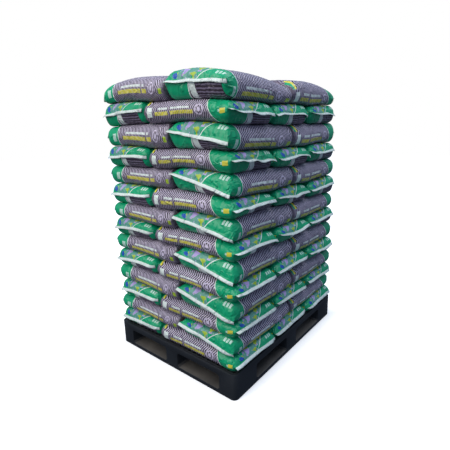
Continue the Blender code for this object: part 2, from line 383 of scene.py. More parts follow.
def smooth_wave(count, terms, size):
    """A gentle random wave of period one, sampled at equal steps."""
    t = np.linspace(0, 1, count, endpoint=False)
    wave = np.zeros(count)
    for term in range(1, terms + 1):
        wave += rng.normal() / term * np.sin(2 * math.pi * (term * t + rng.random()))
    return size * wave


def loop_outline(share, half_width, half_height):
    """A point of a loop with flat top and bottom and round sides."""
    flat = np.maximum(half_width - half_height, 0.0)
    arc = math.pi * half_height
    path = np.abs(share) * 2 * (2 * flat + arc)
    angle = np.clip((path - flat) / np.maximum(half_height, 1e-6), 0, math.pi)
    y = np.where(path < flat, path, flat + half_height * np.sin(angle))
    y = np.where(path > flat + arc, 2 * flat + arc - path, y)
    return np.sign(share) * y, half_height * np.cos(angle)


def round_corners(x, y):
    """Bends the four corners of the plan to quarter circles, as a square is bent to a disc."""
    past_x = (np.abs(x) - (SACK_LENGTH / 2 - PLAN_CORNER)) / PLAN_CORNER
    past_y = (np.abs(y) - (SACK_WIDTH / 2 - PLAN_CORNER)) / PLAN_CORNER
    in_corner = (past_x > 0) & (past_y > 0)
    share_x, share_y = np.clip(past_x, 0, 1), np.clip(past_y, 0, 1)
    pull_x = PLAN_CORNER * past_x * (1 - np.sqrt(1 - share_y ** 2 / 2))
    pull_y = PLAN_CORNER * past_y * (1 - np.sqrt(1 - share_x ** 2 / 2))
    return (x - np.where(in_corner, np.sign(x) * pull_x, 0.0),
            y - np.where(in_corner, np.sign(y) * pull_y, 0.0))


def filled_shape(variant):
    """The shape by rule: flat above and below, round at the sides, running down to the weld at each end."""
    distance = np.clip(np.abs(ALONG) - FLAT_HALF, 0, END_PATH[-1])
    angle = np.interp(distance, END_PATH, END_ANGLES)
    past = np.clip(np.abs(ALONG) - FILM_HALF, 0, None)
    x = np.sign(ALONG) * (np.minimum(np.abs(ALONG), FLAT_HALF) + END_REACH * np.sin(angle) + past)
    height = np.maximum(SACK_THICKNESS / 2 * np.cos(angle), FILM_THICKNESS / 2)
    narrowing = (SACK_WIDTH - SEAL_WIDTH) / 2 * (1 - np.cos(angle)) ** NARROWING_POWER
    lean = smooth_wave(ALONG_CELLS + 1, 4, SIDE_LEAN)[RING] if variant else 0.0
    y, z = loop_outline(ROUND, SACK_WIDTH / 2 - narrowing + lean, height)
    drawn = DRAWN_OUT[variant] * (2 * angle / math.pi) ** 2
    round_x, round_y = round_corners(x, y)
    return np.column_stack((round_x + (x - round_x) * drawn, round_y + (y - round_y) * drawn, z))


def flat_shape():
    """The film laid flat, with the side folds drawn in towards the weld."""
    near_end = ramp(np.abs(ALONG), FILM_HALF - FOLD_REACH, FILM_HALF)
    half_flat = (GIRTH / 4 + (SEAL_WIDTH / 2 - GIRTH / 4) * near_end ** FOLD_POWER) * SPARE_FILM
    across_share = np.where(UPPER, ROUND, np.sign(ROUND) * 0.5 - ROUND) * 4
    return np.column_stack((ALONG * SPARE_FILM, across_share * half_flat,
                            np.where(UPPER, 1, -1) * FILM_THICKNESS / 2))


print("variants", VARIANTS, "with corners drawn out by", DRAWN_OUT)

# %% [markdown]
# ## Blowing the film up
#
# Film can't stretch, so near the weld its spare girth puckers. Cloth gives the puckers: each variant, bent
# to the rule's shape, is blown up between two plates, with its flat film as the rest shape and its welds
# held. The variants lie side by side, a metre apart, and are blown up together. Each sack of the stack is
# then a fitted copy of one of them.

# %% Blowing the film up
SIMULATION_FRAMES, PRESSURE, LARGEST_MOVE = 20, 4.5, 0.022
PLATE_THICKNESS, PLATE_OFFSET, CLEARANCE = 0.04, 0.0215, 0.001
# Small uneven heights give the film somewhere to start buckling
UNEVENNESS = 0.0004


def add_press_plate(name, height):
    deselect()
    bpy.ops.mesh.primitive_cube_add(size=1.0, location=(0, VARIANTS / 2, height))
    plate = bpy.context.object
    plate.name = name
    plate.scale = (1.0, VARIANTS + 1.0, PLATE_THICKNESS)
    bpy.ops.object.transform_apply(location=True, scale=True)
    bpy.ops.object.modifier_add(type="COLLISION")
    plate.collision.thickness_outer = CLEARANCE
    return plate


def add_cloth(film):
    """Cloth that swells from its flat film and is held at the welds."""
    weld = film.vertex_groups.new(name="weld")
    weld.add([int(index) for index in np.nonzero(np.abs(ALONG) > FILM_HALF - 1e-6)[0]], 1.0, "REPLACE")
    cloth = film.modifiers.new("film", "CLOTH")
    settings = cloth.settings
    settings.quality = 5
    settings.mass = 0.2
    settings.tension_stiffness = settings.compression_stiffness = 20
    settings.shear_stiffness = 8
    settings.bending_stiffness = 0.3
    settings.use_pressure = True
    settings.uniform_pressure_force = PRESSURE
    settings.effector_weights.gravity = 0.0
    settings.vertex_group_mass = "weld"
    settings.rest_shape_key = film.data.shape_keys.key_blocks["flat film"]
    cloth.collision_settings.distance_min = CLEARANCE
    cloth.point_cache.frame_start = 1
    cloth.point_cache.frame_end = SIMULATION_FRAMES


def hang_film(number):
    """One film ready for the simulation, bent to the rule's shape but remembering its flat film."""
    film = blank.copy()
    film.data = blank.data.copy()
    film.name = f"film_{number}"
    bpy.context.collection.objects.link(film)
    aside = np.array((0.0, number, 0.0))
    flat, filled = flat_shape(), filled_shape(number)
    filled[:, 2] += rng.normal(0, UNEVENNESS, len(filled))
    set_points(film.data, flat + aside)
    film.shape_key_add(name="flat film")
    bent = film.shape_key_add(name="filled")
    bent.data.foreach_set("co", (filled + aside).ravel())
    bent.value = 1.0
    add_cloth(film)
    return film, filled, aside


def fill_films():
    """Blows all the variants up at once and returns each one's points about its own middle."""
    plates = [add_press_plate("plate_above", SACK_THICKNESS / 2 + PLATE_OFFSET),
              add_press_plate("plate_below", -SACK_THICKNESS / 2 - PLATE_OFFSET)]
    hung = [hang_film(number) for number in range(VARIANTS)]
    for step in range(1, SIMULATION_FRAMES + 1):
        bpy.context.scene.frame_set(step)
    depsgraph = bpy.context.evaluated_depsgraph_get()
    shapes = []
    for film, filled, aside in hung:
        blown = get_points(film.evaluated_get(depsgraph).data) - aside
        move = blown - filled
        length = np.maximum(np.linalg.norm(move, axis=1, keepdims=True), 1e-9)
        shapes.append(filled + move * np.minimum(length, LARGEST_MOVE) / length)
    for item in plates + [film for film, _, _ in hung]:
        bpy.data.objects.remove(item, do_unlink=True)
    bpy.context.scene.frame_set(1)
    return shapes


shapes = fill_films()
for shape in shapes:
    print("filled sack", (shape.max(0) - shape.min(0)).round(3))

# %% [markdown]
# ## A layer's plan
#
# Each layer has two sacks lengthwise in one row and three crosswise in the other, all with their heads
# outwards. Every second layer is turned half round, so that each sack lies across a seam of the layer below.
# That binds the stack without any wrap.

# %% A layer's plan
LAYERS = 14
ROW_FRONT = -(SACK_LENGTH + SACK_WIDTH) / 2
ROW_SEAM = ROW_FRONT + SACK_WIDTH
ROW_BACK = ROW_SEAM + SACK_LENGTH
# In even layers the lengthwise sacks have bulged, and the crosswise ones were laid a little further back
BULGE, SET_BACK = 0.026, 0.02


def layer_plan(layer):
    """Middle, heading, width, tail reach and head reach of each of a layer's five sacks.

    Odd layers are turned half round, and are laid more evenly.
    """
    turned = layer % 2
    bulge, set_back = (0.0, 0.0) if turned else (BULGE, SET_BACK)
    half = SACK_LENGTH / 2
    lengthwise_y = (ROW_FRONT + ROW_SEAM + bulge) / 2
    crosswise_y = (ROW_SEAM + ROW_BACK) / 2 + set_back
    plan = [(-half, lengthwise_y, math.pi, SACK_WIDTH + bulge, half, half),
            (half, lengthwise_y, 0.0, SACK_WIDTH + bulge, half, half)]
    plan += [((column - 1) * SACK_WIDTH, crosswise_y, math.pi / 2, SACK_WIDTH,
              half + set_back - bulge, half - set_back) for column in range(3)]
    if turned:
        plan = [(-x, -y, heading + math.pi, *reaches) for x, y, heading, *reaches in plan]
    return plan


print("a layer", round(3 * SACK_WIDTH, 3), "x", round(ROW_BACK - ROW_FRONT, 3), "m")

# %% [markdown]
# ## Crowns
#
# Sacks settle into each other: the top of each is crowned, and the layer above sags into the valleys between
# the crowns. So each level between two layers is a height field on a grid of 10 mm, and both layers that meet
# there follow it. The first thing that goes into it is the crown of each sack below, tipped a little.

# %% Crowns
GRID_STEP = 0.01
GRID_X = np.arange(-0.67, 0.6701, GRID_STEP)
GRID_Y = np.arange(-0.57, 0.5701, GRID_STEP)
# Past the layer's edges the field goes on as it is this far inside them
EDGE_INSET = 0.002
# A crown is so much of the sum of two waves, one each way, less so much of their product
CROWN_SUM, CROWN_PRODUCT = 0.6, 0.2
# A head end that hangs does so from this share of the sack's length past its middle
DROOP_FROM = 0.36


def crown_field(plan, heights, tilts, rolls, droops):
    """Each sack's crown, highest in its middle and lower at its edges, lowest at its corners."""
    x, y = np.meshgrid(GRID_X, GRID_Y, indexing="ij")
    x = np.clip(x, -1.5 * SACK_WIDTH + EDGE_INSET, 1.5 * SACK_WIDTH - EDGE_INSET)
    y = np.clip(y, ROW_FRONT + EDGE_INSET, ROW_BACK - EDGE_INSET)
    field = np.zeros_like(x)
    best = np.full_like(x, np.inf)
    for (middle_x, middle_y, heading, width, tail, head), height, tilt, roll, droop in zip(
            plan, heights, tilts, rolls, droops):
        along = (x - middle_x) * math.cos(heading) + (y - middle_y) * math.sin(heading)
        across = -(x - middle_x) * math.sin(heading) + (y - middle_y) * math.cos(heading)
        along_share, across_share = (along - (head - tail) / 2) / (head + tail), across / width
        over = np.maximum(np.abs(along_share), np.abs(across_share))
        crown_along = np.cos(math.pi * np.clip(along_share, -0.5, 0.5))
        crown_across = np.cos(math.pi * np.clip(across_share, -0.5, 0.5))
        crown = CROWN_SUM * (crown_along + crown_across) - CROWN_PRODUCT * crown_along * crown_across
        hang = droop * ramp(along_share, DROOP_FROM, 0.5) ** 2
        field = np.where(over < best, height * crown + tilt * along_share + roll * across_share - hang, field)
        best = np.minimum(over, best)
    return field


def blur(field, reach):
    """Smooths a field over a few cells each way."""
    offsets = np.arange(-3 * reach, 3 * reach + 1)
    weights = np.exp(-0.5 * (offsets / reach) ** 2)
    weights /= weights.sum()
    padded = np.pad(field, 3 * reach, mode="edge")
    for axis in (0, 1):
        padded = np.apply_along_axis(lambda line: np.convolve(line, weights, mode="valid"), axis, padded)
    return padded


print("height fields of", len(GRID_X), "x", len(GRID_Y), "points")

# %% [markdown]
# ## Tilted and sagging seams
#
# No seam between two layers is straight. Each was measured at the three corners that the photograph shows, so
# it tilts as it does there. On the right face it also sags in the middle, over the thin ends of crosswise
# sacks, and on the left face it arches over the full head end of a lengthwise sack.

# %% Tilted and sagging seams
# How far each seam, from the lowest up, lies above even spacing in the photograph, in millimetres:
# at the front corner, at the left corner and at the right one
SEAM_CORNERS = ((-5, 2, 2), (2, -9, -10), (-10, 5, -17), (8, 12, -16), (4, 22, -15), (14, 9, -7), (6, 19, -4),
                (13, 3, -3), (5, 15, 2), (8, 4, 10), (1, 9, 12), (11, 5, 24), (-1, 19, 21))
# Where those corners lie, from the stack's middle
SEAM_CORNER_X, SEAM_CORNER_Y = 0.555, 0.455
# How far each seam sags in the middle of the right face, and arches on the left one, in millimetres
SEAM_SAGS = (14, 0, 10, 0, 18, 0, 20, 2, 18, 4, 20, 22, 22)
SEAM_ARCHES = (0, 9, 0, 14, 0, 10, 0, 14, 0, 12, 0, 12, 0)
# A sag begins this far in from the right face and is full near it, and fades towards the face's two ends
SAG_FROM_Y, SAG_FULL_Y, SAG_END_X, SAG_POWER = -0.34, -0.5, 0.6, 6
# An arch begins this far in from the left face, and is highest over the lengthwise sack's middle
ARCH_FROM_X, ARCH_FULL_X, ARCH_Y, ARCH_REACH = -0.36, -0.56, -0.15, 0.15
LEVEL_BLUR = 2


def corner_field(front, left, right):
    """A twisted plane through the heights at the three seen corners, with their mean at the hidden one."""
    x, y = np.meshgrid(GRID_X, GRID_Y, indexing="ij")
    a = ramp(x, -SEAM_CORNER_X, SEAM_CORNER_X)
    b = ramp(y, -SEAM_CORNER_Y, SEAM_CORNER_Y)
    back = (left + right) / 2
    return (1 - a) * (1 - b) * front + (1 - a) * b * left + a * (1 - b) * right + a * b * back


def face_field(sag, arch):
    """A sag along the middle of the right face and an arch on the left one, both gone a little way in."""
    x, y = np.meshgrid(GRID_X, GRID_Y, indexing="ij")
    near_right = ramp(y, SAG_FROM_Y, SAG_FULL_Y) * (1 - ramp(np.abs(x), 0, SAG_END_X) ** SAG_POWER)
    near_left = ramp(x, ARCH_FROM_X, ARCH_FULL_X) * np.exp(-((y - ARCH_Y) / ARCH_REACH) ** 2)
    return arch * near_left - sag * near_right


def seam_field(number):
    """How far a seam lies above even spacing, over its whole level."""
    tilted = corner_field(*(offset / 1000 for offset in SEAM_CORNERS[number - 1]))
    return tilted + blur(face_field(SEAM_SAGS[number - 1] / 1000, SEAM_ARCHES[number - 1] / 1000), LEVEL_BLUR)


print("highest and lowest seam offset", max(map(max, SEAM_CORNERS)), min(map(min, SEAM_CORNERS)), "mm")

# %% [markdown]
# ## The levels between the layers
#
# The load presses the lowest layer thinnest. Each level is the sum of the layers' thicknesses up to it, the
# crowns below it, its seam's tilt and sag, and a slow random swell. The top level has no load on it: its
# crowns are high, one sack is tipped, and two head ends hang.

# %% The levels between the layers
PALLET_LOW, PALLET_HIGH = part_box("pallet")
# How far the rim stands above the deck
RIM_RISE = 0.004
DECK_TOP = PALLET_HIGH[2] - RIM_RISE
BOTTOM_THICKNESS, TOP_THICKNESS = 0.097, 0.1202
# The clearance over the deck, and between one layer and the next
LEVEL_GAP = 0.0004
# The least and the greatest crown, and how far a sack's back tips one way or another
CROWN_LOW, CROWN_HIGH, LEVEL_TILT = 0.010, 0.021, 0.006
# The size of the swell, and how many cells it is smoothed over
SWELL, SWELL_BLUR = 0.002, 16
# The top layer's crowns, how much higher each head end is than its tail, and each left side than its right,
# how far its head ends hang, and how far the sacks' corners lie above even spacing
TOP_CROWNS = (0.036, 0.045, 0.050, 0.045, 0.045)
TOP_TILTS = (0.036, -0.024, -0.012, 0.004, -0.004)
TOP_ROLLS = (-0.030, 0.0, 0.0, 0.0, 0.0)
TOP_DROOPS = (0.0, 0.034, 0.040, 0.0, 0.0)
TOP_CORNER = -0.012


def swell():
    """A slow random field over the whole layer."""
    field = blur(rng.normal(0, 1, (len(GRID_X), len(GRID_Y))), SWELL_BLUR)
    return field / field.std() * SWELL


def layer_thickness(layer):
    return BOTTOM_THICKNESS + (layer - 1) / (LAYERS - 1) * (TOP_THICKNESS - BOTTOM_THICKNESS)


def make_levels():
    """One height field for each level, from the deck up to the backs of the highest sacks."""
    height = DECK_TOP + LEVEL_GAP
    levels = [np.full((len(GRID_X), len(GRID_Y)), height)]
    for layer in range(1, LAYERS + 1):
        height += layer_thickness(layer)
        if layer < LAYERS:
            crowns = rng.uniform(CROWN_LOW, CROWN_HIGH, 5)
            tilts, rolls = rng.uniform(-LEVEL_TILT, LEVEL_TILT, (2, 5))
            droops, offset = (0.0,) * 5, seam_field(layer)
        else:
            crowns, tilts, rolls, droops, offset = TOP_CROWNS, TOP_TILTS, TOP_ROLLS, TOP_DROOPS, TOP_CORNER
        crown = blur(crown_field(layer_plan(layer), crowns, tilts, rolls, droops), LEVEL_BLUR)
        levels.append(height + crown + offset + swell())
    return levels


def height_at(level, x, y):
    """Reads a level's height between its grid points."""
    column = np.clip((x - GRID_X[0]) / GRID_STEP, 0, len(GRID_X) - 1.001)
    row = np.clip((y - GRID_Y[0]) / GRID_STEP, 0, len(GRID_Y) - 1.001)
    i, j = column.astype(int), row.astype(int)
    a, b = column - i, row - j
    return ((1 - a) * (1 - b) * level[i, j] + a * (1 - b) * level[i + 1, j]
            + (1 - a) * b * level[i, j + 1] + a * b * level[i + 1, j + 1])


levels = make_levels()
print("stack top", round(float(levels[-1].max()), 3), "m")

# %% [markdown]
# ## The seals
#
# A sack's seal is a flat band of two welded films. At the outer end nothing holds it up, so it hangs over
# like a hem, in waves, with its corners curled. At the inner end the next sack folds it flat.

# %% The seals
def ring_points(end, step):
    """The points of one ring of a seal, where step 0 is the weld's root."""
    ring = SEAL_CELLS - step if end < 0 else ALONG_CELLS - SEAL_CELLS + step
    return np.nonzero(RING == ring)[0]


def hang_seal(points, end, first, last, wave):
    """Lays a seal's rings out from its root, each a little steeper than the one before."""
    root = ring_points(end, 0)
    order = np.argsort(COLUMN[root] * 2 + UPPER[root])
    root = root[order]
    turn = wave[COLUMN[root]]
    place = points[root].copy()
    half = np.where(UPPER[root], 0.5, -0.5) * FILM_THICKNESS
    middle = place.copy()
    middle[:, 2] = (place[::2, 2] + place[1::2, 2]).repeat(2) / 2
    step_length = SEAL_LENGTH / SEAL_CELLS
    for step in range(1, SEAL_CELLS + 1):
        ring = ring_points(end, step)
        ring = ring[np.argsort(COLUMN[ring] * 2 + UPPER[ring])]
        slope = first + (last - first) * (step - 0.5) / SEAL_CELLS + turn
        middle[:, 0] += end * step_length * np.cos(slope)
        middle[:, 2] -= step_length * np.sin(slope)
        points[ring, 0] = middle[:, 0] + end * half * np.sin(slope)
        points[ring, 1] = middle[:, 1]
        points[ring, 2] = middle[:, 2] + half * np.cos(slope)
    return points


print("seals of", SEAL_CELLS, "cells,", SEAL_LENGTH, "m long")

# %% [markdown]
# ## Mirror images
#
# Four shapes alone would show again and again on seventy sacks. Each is mirrored from side to side, top to
# bottom and end to end at random, which makes eight of it. Only the shape is mirrored: its points change
# places on the film, so that the print stays the right way round.

# %% Mirror images
MIRROR_ORDERS = {}


def mirrored_order(flip_side, flip_top, flip_end):
    """For each point, the point that takes its place when the film is mirrored."""
    key = {}
    for index, (ring, column, upper) in enumerate(zip(RING, COLUMN, UPPER)):
        key[(ring, column, bool(upper))] = index
    order = np.empty(len(RING), dtype=int)
    for index, (ring, column, upper) in enumerate(zip(RING, COLUMN, UPPER)):
        source = (ALONG_CELLS - ring if flip_end else ring, ACROSS_CELLS - column if flip_side else column,
                  bool(upper) != flip_top)
        order[index] = key[source]
    return order


def mirrored(shape, flip_side, flip_top, flip_end):
    """A mirror image of the shape on the same film, so that the print stays as it is."""
    flips = (flip_side, flip_top, flip_end)
    if flips not in MIRROR_ORDERS:
        MIRROR_ORDERS[flips] = mirrored_order(*flips)
    signs = np.array([-1.0 if flip_end else 1.0, -1.0 if flip_side else 1.0, -1.0 if flip_top else 1.0])
    return shape[MIRROR_ORDERS[flips]] * signs


print("mirror images of", VARIANTS, "shapes")

# %% [markdown]
# ## Pressing a sack into its place
#
# In the stack a sack's tail is pressed square by its neighbours, and its back and belly follow the levels
# over and under it. Its head end is free: it runs to a weld a little above the middle, which waves and tilts.
# The load spreads the lower layers, and single layers lie a little to one side, as the photograph shows them.

# %% Pressing a sack into its place
# Neighbours press each sack's tail and sides in a little, so that they don't run into each other
TAIL_TUCK, SIDE_TUCK = 0.985, 0.996
# They press the last fifth of its tail square, the more so the higher the power
SQUARE_FROM, SQUARE_POWER = 0.8, 2.2
# The folded seal of a tail lies this share narrower, from this far before the weld on
TAIL_FOLD, TAIL_FOLD_REACH = 0.12, 0.02
# Heads stick out unevenly, by up to this much in or out
HEAD_SPREAD = (-0.004, 0.005)
# How far before the weld a head's middle line begins to rise or fall
HEAD_REACH = 0.09
# How much wider than the plan each layer is pressed, at a few layers
SPREAD = ((1, 2, 4, 9, 12, 14), (0.022, 0.016, 0.022, 0.018, 0.004, -0.006))
# How far each layer, from the lowest up, lies along X from the middle in the photograph, in millimetres
LAYER_SHIFT = (0, 0, 5, 10, 3, 8, 8, 5, 0, 8, -2, 0, -17, -12)


def press_square(share):
    """Moves the last part of a sack's tail outwards, so that its roundings get tighter."""
    past = ramp(share, SQUARE_FROM, 1)
    pressed = SQUARE_FROM + (1 - SQUARE_FROM) * (1 - (1 - past) ** SQUARE_POWER)
    return np.where(share > SQUARE_FROM, np.maximum(pressed, share), share)


def press_between(shape, plan):
    """Presses a filled shape to the width and the reaches of its place in the plan."""
    width, tail, head = plan[3:]
    head += rng.uniform(*HEAD_SPREAD)
    points = shape.copy()
    share = points[:, 0] / (SACK_LENGTH / 2)
    points[:, 0] = np.where(share > 0, head * share, -tail * TAIL_TUCK * press_square(-share))
    near_tail = ramp(-ALONG, FILM_HALF - TAIL_FOLD_REACH, FILM_HALF)
    points[:, 1] *= SIDE_TUCK * width / SACK_WIDTH * (1 - TAIL_FOLD * near_tail)
    return points


def to_plan(points, plan, layer):
    """A sack's own plan coordinates turned and moved to its place; the lower layers are pressed wider."""
    middle_x, middle_y, heading = plan[:3]
    spread = 1 + np.interp(layer, *SPREAD)
    cosine, sine = math.cos(heading), math.sin(heading)
    x = middle_x + points[:, 0] * cosine - points[:, 1] * sine
    y = middle_y + points[:, 0] * sine + points[:, 1] * cosine
    return x * spread + LAYER_SHIFT[layer - 1] / 1000, y * spread


def press_level(points, plan, layer, rise):
    """The points' heights between the levels under and over them; rise lifts the head's weld."""
    half_height = np.abs(points[:, 2]).max()
    share = np.clip(points[:, 2] / (2 * half_height) + 0.5, 0, 1)
    near_head = ramp(ALONG, FILM_HALF - HEAD_REACH, FILM_HALF)
    share += rise * near_head ** 2 * (1 - (2 * share - 1) ** 2)
    x, y = to_plan(points, plan, layer)
    low = height_at(levels[layer - 1], x, y)
    high = height_at(levels[layer], x, y) - LEVEL_GAP
    return low + share * (high - low)


print("bottom layer pressed", round(float(np.interp(1, *SPREAD)) * 100, 1), "percent wider")

# %% [markdown]
# ## How each seal hangs
#
# No two seals hang alike. Each has its own tilt, slope and waves, drawn at random. The photograph shows one
# sack of each layer end on, on the left face, and there the rise and the tilt follow it, the seal hangs more
# steeply, and its waves are calmer. The weld of some sacks has drawn its corners out, so those take one of
# the first two variants of the shape.

# %% How each seal hangs
# The sack of each layer whose seal shows on the left face, in even and in odd layers
FACING = (1, 2)
# The sacks with drawn-out corners, in even and in odd layers, and the first of the two variants for them and
# for the others
DRAWN_SACKS, DRAWN_FIRST, ROUND_FIRST = ((1,), (4, 5)), 0, 2
# How far above the middle of the sack its weld lies, as a share of the thickness: elsewhere, and on the left
# face in even layers, at two of them
SEAL_RISE, EVEN_RISE = 0.12, ((12, 14), (0.05, 0.17))
# How much higher the right end of a weld lies than its left, as a share of the thickness: on the left face in
# even layers, at a few of them, and in odd ones, and at random elsewhere
EVEN_TILT, ODD_TILT, ANY_TILT = ((8, 10, 12, 14), (-0.52, -0.58, -0.38, 0.03)), 0.20, 0.15
# How far a weld waves up and down, as a share of the thickness, and a seal's slope to and fro, in radians; on
# the left face both are calmer by this share
WELD_WAVE, SLOPE_WAVE, CALM = 0.034, 0.16, 0.65
# A seal's slopes at its weld and at its edge, in radians: on the left face, elsewhere, and folded at a tail
HANG_LEFT, HANG_OTHER, HANG_TAIL = (0.6, 1.3), (0.25, 0.95), (1.35, 1.6)
WELD_SPREAD, EDGE_SPREAD = (-0.1, 0.2), (-0.15, 0.15)
# How much less the left end of a seal slopes, and how much more its right tip, in radians
HELD_OUT, TUCKED_UNDER = (0.2, 0.6), (0.3, 0.9)
# Where on the way from the seal's middle to that end each of them begins and is full
OUT_SPAN, UNDER_SPAN = (0.25, 0.875), (0.7, 0.95)


def pick_shape(layer, number):
    """One of the filled shapes, mirrored at random."""
    first = DRAWN_FIRST if number in DRAWN_SACKS[layer % 2] else ROUND_FIRST
    return mirrored(shapes[rng.integers(2) + first], *(rng.random(3) < 0.5))


def seal_habits(layer, number):
    """A seal's tilt and rise, how lively its waves are, and its slopes at the weld and at the edge."""
    tilt = rng.uniform(-ANY_TILT, ANY_TILT)
    if number != FACING[layer % 2]:
        return tilt, SEAL_RISE, 1.0, HANG_OTHER
    if layer % 2:
        return tilt / 3 + ODD_TILT, SEAL_RISE, CALM, HANG_LEFT
    return tilt / 3 + np.interp(layer, *EVEN_TILT), np.interp(layer, *EVEN_RISE), CALM, HANG_LEFT


def tip_curl(wave):
    """Extra slope along a seal: slow waves, with one end held out and the other tucked under."""
    share = np.linspace(-1, 1, ACROSS_CELLS + 1)
    out, under = rng.uniform(*HELD_OUT), rng.uniform(*TUCKED_UNDER)
    return (smooth_wave(ACROSS_CELLS + 1, 4, wave) - out * ramp(-share, *OUT_SPAN)
            + under * ramp(share, *UNDER_SPAN))


print("seals on the left face slope from", HANG_LEFT[0], "to", HANG_LEFT[1], "radians")

# %% [markdown]
# ## Laying the sacks
#
# The stack goes up from the bottom layer. Each sack is a copy of the blank, bent to its shape as pressed into
# its place, with its seals hung from its welds. It carries two values for its material: the tone of its inks,
# and how far its print lies from where the others have theirs.

# %% Laying the sacks
# How far the print lies towards the tail, round towards the sack's right, and on its lower side across
# towards its left, on three sacks of each even layer in the photograph. Each print also slips at random
PRINT_MOVES, PRINT_SLIP = {1: (0.0, -0.016, 0.034), 2: (0.0, 0.016, 0.0), 3: (0.085, 0.0, 0.0)}, 0.005
UNMOVED = (0.0, 0.0, 0.0)


def bend_blank(name, points):
    """A copy of the film blank, bent to the points."""
    sack = blank.copy()
    sack.data = blank.data.copy()
    sack.name = sack.data.name = name
    bpy.context.collection.objects.link(sack)
    set_points(sack.data, points)
    sack.data.polygons.foreach_set("use_smooth", np.ones(len(sack.data.polygons), dtype=bool))
    return sack


def mark_film(sack, layer, number):
    """Writes the sack's own tone and print move on its points, where the material reads them."""
    count = len(sack.data.vertices)
    tone = sack.data.attributes.new("tone", "FLOAT", "POINT")
    tone.data.foreach_set("value", np.full(count, rng.random()))
    known = UNMOVED if layer % 2 else PRINT_MOVES.get(number, UNMOVED)
    slip = np.array((*rng.uniform(-PRINT_SLIP, PRINT_SLIP, 2), 0.0))
    move = sack.data.attributes.new("print_move", "FLOAT_VECTOR", "POINT")
    move.data.foreach_set("vector", np.tile(known + slip, count))


def lay_sack(layer, number, plan):
    points = press_between(pick_shape(layer, number), plan)
    tilt, rise, lively, slopes = seal_habits(layer, number)
    wave = smooth_wave(ACROSS_CELLS + 1, 3, WELD_WAVE * lively)
    rise = rise + wave[COLUMN] + tilt * points[:, 1] / SACK_WIDTH
    points[:, 2] = press_level(points, plan, layer, rise)
    first, last = slopes[0] + rng.uniform(*WELD_SPREAD), slopes[1] + rng.uniform(*EDGE_SPREAD)
    points = hang_seal(points, 1, first, last, tip_curl(SLOPE_WAVE * lively))
    points = hang_seal(points, -1, *HANG_TAIL, np.zeros(ACROSS_CELLS + 1))
    x, y = to_plan(points, plan, layer)
    sack = bend_blank(f"sack_{layer:02d}_{number}", np.column_stack((x, y, points[:, 2])))
    mark_film(sack, layer, number)
    return sack


sacks = []
for layer in range(1, LAYERS + 1):
    for number, plan in enumerate(layer_plan(layer), 1):
        sack = lay_sack(layer, number, plan)
        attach(sack, "root")
        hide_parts(f"sack_layer_{layer:02d}")
        sacks.append(sack)
bpy.data.objects.remove(blank, do_unlink=True)
print(len(sacks), "sacks")

# %% [markdown]
# ## Shapes of the print
#
# The print is built from plain shapes: discs, circles, blocks and soft patches. Each is a mask over the
# print's own coordinates in metres, one inside the shape and nought outside it, and each ink is laid over
# what is already there, as on a press.

# %% Shapes of the print
def disc(tree, place, middle, radius):
    reach = add_node(tree, "ShaderNodeVectorMath", {0: place, 1: (*middle, 0.0)}, operation="DISTANCE")
    return add_node(tree, "ShaderNodeMath", {0: reach.outputs["Value"], 1: radius},
                    operation="LESS_THAN").outputs[0]


def circle_line(tree, place, middle, radius, line):
    reach = add_node(tree, "ShaderNodeVectorMath", {0: place, 1: (*middle, 0.0)}, operation="DISTANCE")
    return add_node(tree, "ShaderNodeMath", {0: reach.outputs["Value"], 1: radius, 2: line / 2},
                    operation="COMPARE").outputs[0]


def block(tree, place, middle, size, turn=0.0):
    """A rectangle of the size, turned about its middle."""
    local = add_node(tree, "ShaderNodeMapping", {0: place, "Location": (*middle, 0.0),
                                                 "Rotation": (0.0, 0.0, turn), "Scale": (*size, 1.0)},
                     vector_type="TEXTURE")
    folded = add_node(tree, "ShaderNodeVectorMath", {0: local.outputs[0]}, operation="ABSOLUTE")
    sides = add_node(tree, "ShaderNodeSeparateXYZ", {0: folded.outputs[0]})
    far = add_node(tree, "ShaderNodeMath", {0: sides.outputs[0], 1: sides.outputs[1]}, operation="MAXIMUM")
    return add_node(tree, "ShaderNodeMath", {0: far.outputs[0], 1: 0.5}, operation="LESS_THAN").outputs[0]


def both(tree, first, second):
    return add_node(tree, "ShaderNodeMath", {0: first, 1: second}, operation="MULTIPLY").outputs[0]


def patches(tree, place, scale, share, seed):
    """Soft blotches, as a share of the area from none to all."""
    noise = add_node(tree, "ShaderNodeTexNoise", {"Vector": place, "W": seed, "Scale": scale, "Detail": 1.0},
                     noise_dimensions="4D")
    return add_node(tree, "ShaderNodeMath", {0: noise.outputs[0], 1: 1.0 - share},
                    operation="GREATER_THAN").outputs[0]


def lay_ink(tree, under, mask, ink):
    """Prints one ink over what is there, where the mask is one."""
    return add_node(tree, "ShaderNodeMix", {"Factor": mask, "A": under, "B": linear(ink)},
                    data_type="RGBA").outputs["Result"]


print("the print covers", round(2 * (FILM_HALF + SEAL_LENGTH), 3), "x", round(GIRTH, 3), "m")

# %% [markdown]
# ## The print's field and cap
#
# The sacks are printed in a few solid inks. Most of the film is a dull purple field with lilac lines, whose
# slant turns back and forth as in a herringbone. The head end has a bright green cap, cut off by two rounds
# with white edges. The lines are one sine over slanted coordinates, so they stay crisp at any distance.

# %% The print's field and cap
INK_GREEN, INK_FIELD, INK_LINE = "#0FA672", "#665B6A", "#CCC2D8"
INK_DARK, INK_YELLOW, INK_WHITE, INK_WELD = "#3E343E", "#E3DA4C", "#E6F1EA", "#DEEBE4"
INK_LINE_DARK, INK_HATCH, INK_PALE = "#30282F", "#7E7388", "#BFE3D3"
INK_LILAC, INK_TEAL, INK_LEAF, INK_BLUE = "#B3A4DA", "#5FA08E", "#A9C53E", "#1B55B0"
# From the middle of the sack's top to the middle of its side, round the girth
QUARTER = GIRTH / 4
